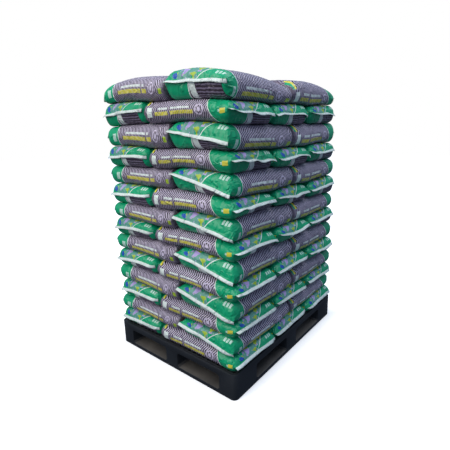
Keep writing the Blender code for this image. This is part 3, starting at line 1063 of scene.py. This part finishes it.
# The lines' spacing and slant, how far apart the slant turns, and where on the sine a line begins and is full
LINE_PITCH, LINE_SLANT, CHEVRON, LINE_RISE = 0.014, 0.55, 0.030, (-0.2, 0.3)
# Where the lines are faintest, where they are full, and what share of them is left where they are faintest:
# low on the sack's side, on its top, and at its tail
FADE_LOW = (QUARTER + 0.02, QUARTER - 0.03, 0.45)
FADE_TOP, FADE_TAIL = (0.04, 0.11, 0.15), (-0.285, -0.245, 0.1)
# The width of the cap's edges, and its two rounds: each one's middle and radius, and the middle and size of
# its part of the film
CAP_EDGE = 0.005
CAP_ROUNDS = (((0.712, 0.041), 0.6, (0.3, -0.3), (0.4, 0.35)),
              ((0.474, QUARTER), 0.262, (0.3, 0.2), (0.4, 0.65)))


def herringbone(tree, u, v):
    """Fine slanted lines whose slant turns back and forth down the sack's side."""
    fold = add_node(tree, "ShaderNodeMath", {0: v, 1: CHEVRON}, operation="PINGPONG")
    lean = add_node(tree, "ShaderNodeMath", {0: fold.outputs[0], 1: LINE_SLANT, 2: u},
                    operation="MULTIPLY_ADD")
    turns = add_node(tree, "ShaderNodeMath", {0: lean.outputs[0], 1: 2 * math.pi / LINE_PITCH},
                     operation="MULTIPLY")
    wave = add_node(tree, "ShaderNodeMath", {0: turns.outputs[0]}, operation="SINE")
    start, full = LINE_RISE
    return add_node(tree, "ShaderNodeMapRange", {0: wave.outputs[0], 1: start, 2: full}).outputs[0]


def print_field(tree, u, v, girth_place):
    """The dull field: lilac lines over purple, fainter low on the sack's side, on its top and at its tail."""
    lines = herringbone(tree, u, v)
    shown = 1.0
    for where, (start, full, least) in ((girth_place, FADE_LOW), (girth_place, FADE_TOP), (u, FADE_TAIL)):
        fade = add_node(tree, "ShaderNodeMapRange", {0: where, 1: start, 2: full, 3: least, 4: 1.0})
        shown = both(tree, shown, fade.outputs[0])
    ink = lay_ink(tree, linear(INK_FIELD), both(tree, lines, shown), INK_LINE)
    dark = add_node(tree, "ShaderNodeMath", {0: 1.0, 1: lines}, operation="SUBTRACT")
    return lay_ink(tree, ink, both(tree, dark.outputs[0], shown), INK_LINE_DARK)


def print_cap(tree, ink, place):
    """The green cap, in two rounds with white edges."""
    for middle, radius, side_middle, side_size in CAP_ROUNDS:
        side = block(tree, place, side_middle, side_size)
        ink = lay_ink(tree, ink, both(tree, disc(tree, place, middle, radius), side), INK_GREEN)
        edge = circle_line(tree, place, middle, radius, CAP_EDGE)
        ink = lay_ink(tree, ink, both(tree, edge, side), INK_WHITE)
    return ink


print("herringbone lines", LINE_PITCH, "m apart")

# %% [markdown]
# ## The print's marks
#
# Plain marks lie over the field: a bed of soft colour patches near the head, white and yellow bars with a
# ring along each side, and small blocks at both ends. None of them says or stands for anything.

# %% The print's marks
# The bed of patches, and each colour's ink, share of the bed, seed and scale
PATCH_BED = ((0.29, -0.01), (0.12, 0.25))
PATCHES = ((INK_LILAC, 0.44, 2.0, 20.0), (INK_LEAF, 0.41, 5.0, 26.0), (INK_GREEN, 0.41, 9.0, 24.0))
# A row of bars: its pitch, the height on a sine from which it is a bar, the share of bars that is left, and
# the scale of its gaps
BAR_PITCH, BAR_FROM, BAR_SHARE, GAP_SCALE = 0.011, -0.7, 0.66, 17.0
# Each long side, where its bars have their middle and where its ring lies
SIDES = ((1, 0.035, -0.150), (-1, -0.064, 0.111))
# How far down the side each row of bars lies, and its size
WHITE_BARS, YELLOW_BARS = (-0.015, (0.22, 0.011)), (0.009, (0.27, 0.019))
RING_DOWN, RING_RADIUS, RING_LINE, DOT_RADIUS = -0.004, 0.025, 0.006, 0.011
# The middle, size and ink of each small block
BLOCKS = (((-0.237, -QUARTER), (0.032, 0.050), INK_WHITE),
          ((-0.235, QUARTER + 0.012), (0.03, 0.026), INK_LEAF),
          ((-0.252, -QUARTER + 0.085), (0.012, 0.09), INK_YELLOW),
          ((-0.265, -QUARTER + 0.078), (0.014, 0.075), INK_GREEN),
          ((0.240, QUARTER + 0.006), (0.024, 0.044), INK_PALE),
          *(((0.280, round_place), (0.022, 0.013), INK_PALE) for round_place in (0.116, 0.136, 0.156)),
          ((0.246, -QUARTER), (0.02, 0.012), INK_PALE),
          ((0.27, -QUARTER), (0.04, 0.024), INK_YELLOW))
DISC_MIDDLE, DISC_RADIUS = (0.300, -0.140), 0.018


def print_patches(tree, ink, place):
    bed = block(tree, place, *PATCH_BED)
    ink = lay_ink(tree, ink, bed, INK_TEAL)
    for colour, share, seed, scale in PATCHES:
        ink = lay_ink(tree, ink, both(tree, bed, patches(tree, place, scale, share, seed)), colour)
    return ink


def row_of_bars(tree, place, middle, size):
    """Evenly spaced plain bars, with a few gaps."""
    along = add_node(tree, "ShaderNodeMapping", {0: place, "Scale": (1.0, 0.0, 0.0)})
    step = add_node(tree, "ShaderNodeVectorMath", {0: along.outputs[0], "Scale": 2 * math.pi / BAR_PITCH},
                    operation="SCALE")
    wave = add_node(tree, "ShaderNodeVectorMath", {0: step.outputs[0]}, operation="SINE")
    height = add_node(tree, "ShaderNodeSeparateXYZ", {0: wave.outputs[0]}).outputs[0]
    bars = add_node(tree, "ShaderNodeMath", {0: height, 1: BAR_FROM}, operation="GREATER_THAN").outputs[0]
    rows = both(tree, bars, patches(tree, along.outputs[0], GAP_SCALE, BAR_SHARE, middle[0]))
    return both(tree, rows, block(tree, place, middle, size))


def print_side(tree, ink, place, side, start, ring):
    """One long side: white bars over a row of yellow ones, and a ring with a dot."""
    for (down, size), colour in ((WHITE_BARS, INK_WHITE), (YELLOW_BARS, INK_YELLOW)):
        ink = lay_ink(tree, ink, row_of_bars(tree, place, (start, side * (QUARTER + down)), size), colour)
    middle = (ring, side * (QUARTER + RING_DOWN))
    ink = lay_ink(tree, ink, circle_line(tree, place, middle, RING_RADIUS, RING_LINE), INK_LINE)
    return lay_ink(tree, ink, disc(tree, place, middle, DOT_RADIUS), INK_LINE)


print(len(BLOCKS), "blocks and", len(PATCHES), "colours of patches")

# %% [markdown]
# ## The lower side of the head
#
# The head's lower half has a print of its own: a green part, a white line, a leaning white band, and a dark
# panel with a fine hatch. The print's map has its seam in the middle of that side, so these shapes are
# measured across from the seam, one way and the other. On some sacks this part lies further across.

# %% The lower side of the head
# The middle, size, turn and ink of each block, and the hatched panel
LOWER_BLOCKS = (((0.28, -0.122), (0.11, 0.17), 0.0, INK_GREEN),
                ((0.28, 0.060), (0.11, 0.212), 0.0, INK_DARK),
                ((0.28, -0.049), (0.11, 0.007), 0.0, INK_WHITE),
                ((0.28, -0.018), (0.12, 0.038), -0.25, INK_WHITE))
PANEL = ((0.285, 0.080), (0.09, 0.164))
# A scale of 30 draws the hatch's bands about 10 mm apart, coarser than real ones, so that they show
HATCH_SCALE, HATCH_WAVER, HATCH_FROM = 30.0, 1.5, 0.62


def across_from_seam(tree, u, v, girth_place):
    """The print's coordinates from the middle of the lower side, less the sack's own move across."""
    side = add_node(tree, "ShaderNodeMath", {0: v}, operation="SIGN")
    inward = add_node(tree, "ShaderNodeMath", {0: GIRTH / 2, 1: girth_place}, operation="SUBTRACT")
    across = both(tree, side.outputs[0], inward.outputs[0])
    move = add_node(tree, "ShaderNodeAttribute", attribute_name="print_move").outputs["Vector"]
    pushed = add_node(tree, "ShaderNodeSeparateXYZ", {0: move}).outputs[2]
    moved = add_node(tree, "ShaderNodeMath", {0: across, 1: pushed}, operation="SUBTRACT").outputs[0]
    return add_node(tree, "ShaderNodeCombineXYZ", {0: u, 1: moved}).outputs[0]


def print_underside(tree, ink, u, v, girth_place):
    """The head end's lower half: green, a white line, a leaning white band and a dark hatched panel."""
    below = across_from_seam(tree, u, v, girth_place)
    lower = add_node(tree, "ShaderNodeMath", {0: girth_place, 1: QUARTER},
                     operation="GREATER_THAN").outputs[0]
    for middle, size, turn, colour in LOWER_BLOCKS:
        ink = lay_ink(tree, ink, both(tree, lower, block(tree, below, middle, size, turn)), colour)
    hatch = add_node(tree, "ShaderNodeTexWave", {"Vector": below, "Scale": HATCH_SCALE,
                                                 "Distortion": HATCH_WAVER}, bands_direction="X")
    lines = add_node(tree, "ShaderNodeMath", {0: hatch.outputs[1], 1: HATCH_FROM}, operation="GREATER_THAN")
    panel = both(tree, both(tree, lower, lines.outputs[0]), block(tree, below, *PANEL))
    return lay_ink(tree, ink, panel, INK_HATCH)


print(len(LOWER_BLOCKS), "blocks on the lower side")

# %% [markdown]
# ## Printed polyethylene film
#
# The film is low-density polyethylene, blown as a tube and printed before it is filled. To the eye it is a
# satin skin: solid inks under a soft gloss that every crease breaks up. Real creases are fine and shallow, so
# they are drawn coarser and deeper than they are, to show at this picture size: creases about 40 mm apart,
# dents about 90 mm, and puckers about 20 mm wide that run in from the welds.

# %% Printed polyethylene film
FILM_IOR, FILM_ROUGHNESS, FILM_SPECULAR = 1.51, 0.27, 0.38
CREASE_DEPTH, PUCKER_DEPTH, DENT_DEPTH = 0.016, 0.010, 0.016
# Creases and dents to the metre, and puckers to the metre along the sack and round it
CREASES, DENTS, PUCKERS = 24.0, 11.0, (5.0, 46.0, 1.0)
# The puckers begin this far from the sack's middle
PUCKER_FROM = 0.21
# The white of the seal begins this far out on it, and each sack's inks are this much darker or brighter
WELD_EDGE, TONES = 0.005, (0.90, 1.04)


def film_relief(tree, place, u):
    """Fine creases all over, and puckers that run in from the welds."""
    where = add_node(tree, "ShaderNodeTexCoord").outputs["Object"]
    crease = add_node(tree, "ShaderNodeTexNoise", {"Vector": where, "Scale": CREASES, "Detail": 3.0,
                                                   "Roughness": 0.55, "Distortion": 1.2},
                      noise_type="RIDGED_MULTIFRACTAL")
    slack = add_node(tree, "ShaderNodeMapping", {0: place, "Scale": PUCKERS})
    pucker = add_node(tree, "ShaderNodeTexNoise", {"Vector": slack.outputs[0], "Scale": 1.0, "Detail": 2.0})
    reach = add_node(tree, "ShaderNodeMath", {0: u}, operation="ABSOLUTE")
    near_weld = add_node(tree, "ShaderNodeMapRange", {0: reach.outputs[0], 1: PUCKER_FROM, 2: FILM_HALF})
    dent = add_node(tree, "ShaderNodeTexNoise", {"Vector": where, "Scale": DENTS, "Detail": 1.0})
    dented = add_node(tree, "ShaderNodeBump", {"Strength": 0.7, "Distance": DENT_DEPTH,
                                               "Height": dent.outputs[0]})
    first = add_node(tree, "ShaderNodeBump", {"Strength": 0.7, "Distance": CREASE_DEPTH,
                                              "Height": crease.outputs[0], "Normal": dented.outputs[0]})
    gathered = both(tree, pucker.outputs[0], near_weld.outputs[0])
    return add_node(tree, "ShaderNodeBump", {"Strength": 0.8, "Distance": PUCKER_DEPTH, "Height": gathered,
                                             "Normal": first.outputs[0]}).outputs[0]


def slip_print(tree, place, u):
    """Moves the print by each sack's own shift and roll; the shift fades out towards the welds."""
    move = add_node(tree, "ShaderNodeAttribute", attribute_name="print_move").outputs["Vector"]
    share = add_node(tree, "ShaderNodeMath", {0: u, 1: FILM_HALF}, operation="DIVIDE").outputs[0]
    square = both(tree, share, share)
    give = add_node(tree, "ShaderNodeMath", {0: 1.0, 1: square}, operation="SUBTRACT",
                    use_clamp=True).outputs[0]
    fade = add_node(tree, "ShaderNodeCombineXYZ", {0: give, 1: 1.0}).outputs[0]
    return add_node(tree, "ShaderNodeVectorMath", {0: move, 1: fade, 2: place},
                    operation="MULTIPLY_ADD").outputs[0]


def make_film():
    material = bpy.data.materials.new("printed_polyethylene_film")
    material.use_nodes = True
    tree = material.node_tree
    shader = tree.nodes["Principled BSDF"]
    film_place = add_node(tree, "ShaderNodeUVMap", uv_map=PRINT_MAP).outputs[0]
    film_u = add_node(tree, "ShaderNodeSeparateXYZ", {0: film_place}).outputs[0]
    place = slip_print(tree, film_place, film_u)
    split = add_node(tree, "ShaderNodeSeparateXYZ", {0: place})
    u, v = split.outputs[0], split.outputs[1]
    girth_place = add_node(tree, "ShaderNodeMath", {0: v}, operation="ABSOLUTE").outputs[0]
    ink = print_field(tree, u, v, girth_place)
    ink = print_patches(tree, ink, place)
    ink = print_cap(tree, ink, place)
    ink = lay_ink(tree, ink, disc(tree, place, DISC_MIDDLE, DISC_RADIUS), INK_BLUE)
    for side, start, ring in SIDES:
        ink = print_side(tree, ink, place, side, start, ring)
    for middle, size, colour in BLOCKS:
        ink = lay_ink(tree, ink, block(tree, place, middle, size), colour)
    ink = print_underside(tree, ink, u, v, girth_place)
    reach = add_node(tree, "ShaderNodeMath", {0: film_u}, operation="ABSOLUTE")
    weld = add_node(tree, "ShaderNodeMath", {0: reach.outputs[0], 1: FILM_HALF + WELD_EDGE},
                    operation="GREATER_THAN")
    ink = lay_ink(tree, ink, weld.outputs[0], INK_WELD)
    tone = add_node(tree, "ShaderNodeAttribute", attribute_name="tone")
    shade = add_node(tree, "ShaderNodeMapRange", {0: tone.outputs["Fac"], 3: TONES[0], 4: TONES[1]})
    toned = add_node(tree, "ShaderNodeVectorMath", {0: ink, "Scale": shade.outputs[0]}, operation="SCALE")
    tree.links.new(toned.outputs[0], shader.inputs["Base Color"])
    tree.links.new(film_relief(tree, film_place, film_u), shader.inputs["Normal"])
    shader.inputs["Roughness"].default_value = FILM_ROUGHNESS
    shader.inputs["IOR"].default_value = FILM_IOR
    shader.inputs["Specular IOR Level"].default_value = FILM_SPECULAR
    return material


film = make_film()
for sack in sacks:
    sack.data.materials.clear()
    sack.data.materials.append(film)
print("film material:", len(film.node_tree.nodes), "nodes")

# %% [markdown]
# ## The pallet's frame
#
# The real pallet is moulded as one piece: a skirt with a small rim, nine blocks, and a base that ties the
# blocks' feet together. It starts as one block with rounded corners. The space inside, the four fork tunnels
# and the four windows in the base are then cut out with boolean modifiers, and a bevel rounds every edge as
# a mould does. The CAD solid is hidden, and these pieces stand in its place. The CAD solid stays for
# collisions, and these pieces stand in its place.

# %% The pallet's frame
CORNER_RADIUS, RIM_WIDTH = 0.03, 0.012
# The fork entries' floor, roof and chamfered corners, and the height up to which the blocks are solid
ENTRY_FLOOR, ENTRY_ROOF, ENTRY_CHAMFER = 0.025, 0.12, 0.012
BLOCK_TOP = 0.118
# Along the pallet and then across it: the length of an outer block, and half of the middle one's
END_BLOCK, MIDDLE_BLOCK_HALF = 0.2, 0.06
SIDE_BLOCK, SIDE_MIDDLE_HALF = 0.115, 0.05
MOULD_EDGE, SHARPEST_SMOOTH = 0.002, math.radians(35)
HALF_LENGTH, HALF_WIDTH = PALLET_HIGH[0], PALLET_HIGH[1]
# A cutter reaches this far, well past the pallet
PAST = 1.0


def add_block(name, low, high):
    deselect()
    middle = [(a + b) / 2 for a, b in zip(low, high)]
    bpy.ops.mesh.primitive_cube_add(size=1.0, location=middle)
    item = bpy.context.object
    item.name = name
    item.scale = [b - a for a, b in zip(low, high)]
    bpy.ops.object.transform_apply(location=True, scale=True)
    return item


def bevel_along(item, axis, width, segments):
    """Rounds or chamfers the long edges that run along one axis."""
    bpy.ops.object.mode_set(mode="EDIT")
    bpy.ops.mesh.select_mode(type="EDGE")
    bpy.ops.mesh.select_all(action="DESELECT")
    bpy.ops.object.mode_set(mode="OBJECT")
    for edge in item.data.edges:
        start, end = (item.data.vertices[index].co for index in edge.vertices)
        edge.select = (start - end).length - abs((start - end)[axis]) < 1e-5
    bpy.ops.object.mode_set(mode="EDIT")
    bpy.ops.mesh.bevel(offset=width, segments=segments, affect="EDGES")
    bpy.ops.object.mode_set(mode="OBJECT")


def apply_modifier(item, kind, **settings):
    deselect()
    bpy.context.view_layer.objects.active = item
    item.select_set(True)
    bpy.ops.object.modifier_add(type=kind)
    step = item.modifiers[-1]
    for name, value in settings.items():
        setattr(step, name, value)
    bpy.ops.object.modifier_apply(modifier=step.name)


def cut_out(item, cutter):
    apply_modifier(item, "BOOLEAN", object=cutter, operation="DIFFERENCE", solver="EXACT")
    bpy.data.objects.remove(cutter, do_unlink=True)


def cut_tunnels(item):
    """Two fork tunnels each way, which leave the nine blocks standing."""
    for side in (-1, 1):
        near, far = sorted((side * SIDE_MIDDLE_HALF, side * (HALF_WIDTH - SIDE_BLOCK)))
        tunnel = add_block("long_tunnel", (-PAST, near, ENTRY_FLOOR), (PAST, far, ENTRY_ROOF))
        bevel_along(tunnel, 0, ENTRY_CHAMFER, 1)
        cut_out(item, tunnel)
        near, far = sorted((side * MIDDLE_BLOCK_HALF, side * (HALF_LENGTH - END_BLOCK)))
        tunnel = add_block("cross_tunnel", (near, -PAST, ENTRY_FLOOR), (far, PAST, ENTRY_ROOF))
        bevel_along(tunnel, 1, ENTRY_CHAMFER, 1)
        cut_out(item, tunnel)


def cut_windows(item):
    """Four windows in the base, where a pallet truck's wheels come down."""
    for side_x in (-1, 1):
        for side_y in (-1, 1):
            low_x, high_x = sorted((side_x * MIDDLE_BLOCK_HALF, side_x * (HALF_LENGTH - END_BLOCK)))
            low_y, high_y = sorted((side_y * SIDE_MIDDLE_HALF, side_y * (HALF_WIDTH - SIDE_BLOCK)))
            cut_out(item, add_block("window", (low_x, low_y, -PAST), (high_x, high_y, 2 * ENTRY_FLOOR)))


def make_pallet_frame():
    item = add_block("pallet_frame", PALLET_LOW, PALLET_HIGH)
    bevel_along(item, 2, CORNER_RADIUS, 6)
    inside = add_block("inside", (RIM_WIDTH - HALF_LENGTH, RIM_WIDTH - HALF_WIDTH, BLOCK_TOP),
                       (HALF_LENGTH - RIM_WIDTH, HALF_WIDTH - RIM_WIDTH, PAST))
    bevel_along(inside, 2, CORNER_RADIUS - RIM_WIDTH, 4)
    cut_out(item, inside)
    cut_tunnels(item)
    cut_windows(item)
    apply_modifier(item, "BEVEL", width=MOULD_EDGE, segments=2, limit_method="ANGLE",
                   angle_limit=SHARPEST_SMOOTH)
    bpy.ops.object.shade_smooth_by_angle(angle=SHARPEST_SMOOTH)
    return item


pallet_pieces = [make_pallet_frame()]
print("pallet frame", len(pallet_pieces[0].data.polygons), "faces")

# %% [markdown]
# ## The deck
#
# The deck is a thin sheet with a round hole every 38 mm, which drains it and saves plastic. One tile with its
# hole is modelled, two array modifiers repeat it, and a solidify gives the sheet its thickness. Under it
# stands a lattice of upright ribs: a grid whose cells are inset, emptied, and made as deep as the ribs.

# %% The deck
# The deck's thickness, and its size inside the rim
SHEET = 0.005
DECK_LENGTH, DECK_WIDTH = 2 * (HALF_LENGTH - RIM_WIDTH), 2 * (HALF_WIDTH - RIM_WIDTH)
HOLES_ALONG, HOLES_ACROSS, HOLE_RADIUS = 31, 26, 0.0105
RIB_CELLS_ALONG, RIB_CELLS_ACROSS, RIB_THICKNESS = 15, 13, 0.004
# A tile is a grid of 4 by 4 cells, and its inner points, nearer the middle than this, become the hole's edge
INNER_SHARE = 0.3


def delete_faces(item, chosen):
    """Empties the faces that the test picks by their middle."""
    bpy.ops.object.mode_set(mode="EDIT")
    bpy.ops.mesh.select_mode(type="FACE")
    bpy.ops.mesh.select_all(action="DESELECT")
    bpy.ops.object.mode_set(mode="OBJECT")
    for polygon in item.data.polygons:
        polygon.select = chosen(polygon)
    bpy.ops.object.mode_set(mode="EDIT")
    bpy.ops.mesh.delete(type="FACE")
    bpy.ops.object.mode_set(mode="OBJECT")


def make_deck_sheet():
    tile_length, tile_width = DECK_LENGTH / HOLES_ALONG, DECK_WIDTH / HOLES_ACROSS
    deselect()
    bpy.ops.mesh.primitive_grid_add(x_subdivisions=4, y_subdivisions=4, size=1.0)
    item = bpy.context.object
    item.name = "pallet_deck"
    points = get_points(item.data)
    inner = np.abs(points).max(axis=1) < INNER_SHARE
    reach = np.maximum(np.linalg.norm(points, axis=1, keepdims=True), 1e-9)
    points = np.where(inner[:, None], points / reach * HOLE_RADIUS, points * (tile_length, tile_width, 1.0))
    points[:, :2] += ((tile_length - DECK_LENGTH) / 2, (tile_width - DECK_WIDTH) / 2)
    points[:, 2] = DECK_TOP
    middle = points[:, :2].mean(axis=0)
    set_points(item.data, points)
    delete_faces(item, lambda face: math.dist(face.center[:2], middle) < HOLE_RADIUS)
    apply_modifier(item, "ARRAY", count=HOLES_ALONG, use_relative_offset=False, use_constant_offset=True,
                   constant_offset_displace=(tile_length, 0, 0), use_merge_vertices=True)
    apply_modifier(item, "ARRAY", count=HOLES_ACROSS, use_relative_offset=False, use_constant_offset=True,
                   constant_offset_displace=(0, tile_width, 0), use_merge_vertices=True)
    apply_modifier(item, "SOLIDIFY", thickness=SHEET, offset=-1.0)
    return item


def make_ribs():
    deselect()
    bpy.ops.mesh.primitive_grid_add(x_subdivisions=RIB_CELLS_ALONG, y_subdivisions=RIB_CELLS_ACROSS, size=1.0,
                                    location=(0, 0, DECK_TOP - SHEET))
    item = bpy.context.object
    item.name = "pallet_ribs"
    item.scale = (DECK_LENGTH, DECK_WIDTH, 1.0)
    bpy.ops.object.transform_apply(location=True, scale=True)
    bpy.ops.object.mode_set(mode="EDIT")
    bpy.ops.mesh.select_all(action="SELECT")
    bpy.ops.mesh.inset(thickness=RIB_THICKNESS / 2, use_individual=True)
    bpy.ops.mesh.delete(type="FACE")
    bpy.ops.object.mode_set(mode="OBJECT")
    apply_modifier(item, "SOLIDIFY", thickness=DECK_TOP - SHEET - BLOCK_TOP, offset=-1.0)
    return item


pallet_pieces += [make_deck_sheet(), make_ribs()]
for piece in pallet_pieces:
    print(piece.name, len(piece.data.polygons), "faces, from", [round(v, 4) for v in piece.bound_box[0]])

# %% [markdown]
# ## Black moulded polypropylene
#
# Pallets are moulded from polypropylene coloured with carbon black. To the eye that is a soft black, a little
# greyer where it is scuffed, with a dull sheen and the fine leather grain of the mould. Faces that look up,
# low down, such as the floors of the fork tunnels, are paler: partly dust, and partly painted light that
# stands for the light they catch. The grain of about 1 mm is too fine to show, so it is drawn at about 3 mm.

# %% Black moulded polypropylene
GRAIN_SIZE, GRAIN_DEPTH, SCUFF_SIZE, CLOUD_SIZE = 0.003, 0.0004, 0.02, 0.18
# A scuff is this many times as long as it is high
SCUFF_STRETCH = 4.0
PLASTIC_DARK, PLASTIC_PALE = "#14171B", "#202429"
SCUFF_GREY, RUBBED_GREY, DUST_AND_PAINTED_LIGHT = "#565A5C", "#5E6264", "#8E867A"
# From and to where each mark grows, on the scuffs' noise, on the edges' roundness (wear) and on the faces'
# turn upwards (dust and painted light), and how much of it shows at most
SCUFFED, RUBBED, UPWARD_DUST_AND_LIGHT = (0.56, 0.74, 0.35), (0.53, 0.60, 0.30), (0.5, 0.95, 0.5)
# The scuffs' noise between which the roughness changes, and the least and the greatest roughness
DULLED = (0.3, 0.7, 0.42, 0.62)
PLASTIC_IOR = 1.49


def make_plastic():
    material = bpy.data.materials.new("black_moulded_polypropylene")
    material.use_nodes = True
    tree = material.node_tree
    shader = tree.nodes["Principled BSDF"]
    where = add_node(tree, "ShaderNodeTexCoord").outputs["Object"]
    cloud = add_node(tree, "ShaderNodeTexNoise", {"Vector": where, "Scale": 1 / CLOUD_SIZE, "Detail": 3.0})
    base = add_node(tree, "ShaderNodeMix", {"Factor": cloud.outputs[0], "A": linear(PLASTIC_DARK),
                                            "B": linear(PLASTIC_PALE)}, data_type="RGBA")
    drawn = add_node(tree, "ShaderNodeMapping", {0: where, "Scale": (1.0, 1.0, SCUFF_STRETCH)})
    scuff = add_node(tree, "ShaderNodeTexNoise", {"Vector": drawn.outputs[0], "Scale": 1 / SCUFF_SIZE,
                                                  "Detail": 5.0, "Roughness": 0.7})
    scuffed = add_node(tree, "ShaderNodeMapRange", {0: scuff.outputs[0], 1: SCUFFED[0], 2: SCUFFED[1],
                                                    4: SCUFFED[2]})
    worn = lay_ink(tree, base.outputs["Result"], scuffed.outputs[0], SCUFF_GREY)
    form = add_node(tree, "ShaderNodeNewGeometry")
    rubbed = add_node(tree, "ShaderNodeMapRange", {0: form.outputs["Pointiness"], 1: RUBBED[0], 2: RUBBED[1],
                                                   4: RUBBED[2]})
    worn = lay_ink(tree, worn, rubbed.outputs[0], RUBBED_GREY)
    # Faces that look up, low down, get a pale mark: dust, and painted light for the light the tunnel floors
    # catch
    facing_up = add_node(tree, "ShaderNodeSeparateXYZ", {0: form.outputs["True Normal"]}).outputs[2]
    lying_dust_and_light = add_node(tree, "ShaderNodeMapRange", {0: facing_up, 1: UPWARD_DUST_AND_LIGHT[0], 2: UPWARD_DUST_AND_LIGHT[1], 4: UPWARD_DUST_AND_LIGHT[2]})
    height = add_node(tree, "ShaderNodeSeparateXYZ", {0: where}).outputs[2]
    below = add_node(tree, "ShaderNodeMath", {0: height, 1: ENTRY_ROOF}, operation="LESS_THAN")
    dust_and_painted_light = both(tree, both(tree, lying_dust_and_light.outputs[0], below.outputs[0]), cloud.outputs[0])
    tree.links.new(lay_ink(tree, worn, dust_and_painted_light, DUST_AND_PAINTED_LIGHT), shader.inputs["Base Color"])
    low, high, least, most = DULLED
    dull = add_node(tree, "ShaderNodeMapRange", {0: scuff.outputs[0], 1: low, 2: high, 3: least, 4: most})
    tree.links.new(dull.outputs[0], shader.inputs["Roughness"])
    grain = add_node(tree, "ShaderNodeTexNoise", {"Vector": where, "Scale": 1 / GRAIN_SIZE, "Detail": 2.0})
    relief = add_node(tree, "ShaderNodeBump", {"Strength": 0.4, "Distance": GRAIN_DEPTH,
                                               "Height": grain.outputs[0]})
    tree.links.new(relief.outputs[0], shader.inputs["Normal"])
    shader.inputs["IOR"].default_value = PLASTIC_IOR
    return material


plastic = make_plastic()
for piece in pallet_pieces:
    piece.data.materials.clear()
    piece.data.materials.append(plastic)
    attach(piece, "root")
    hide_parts("pallet")
print("plastic on", len(pallet_pieces), "pieces")
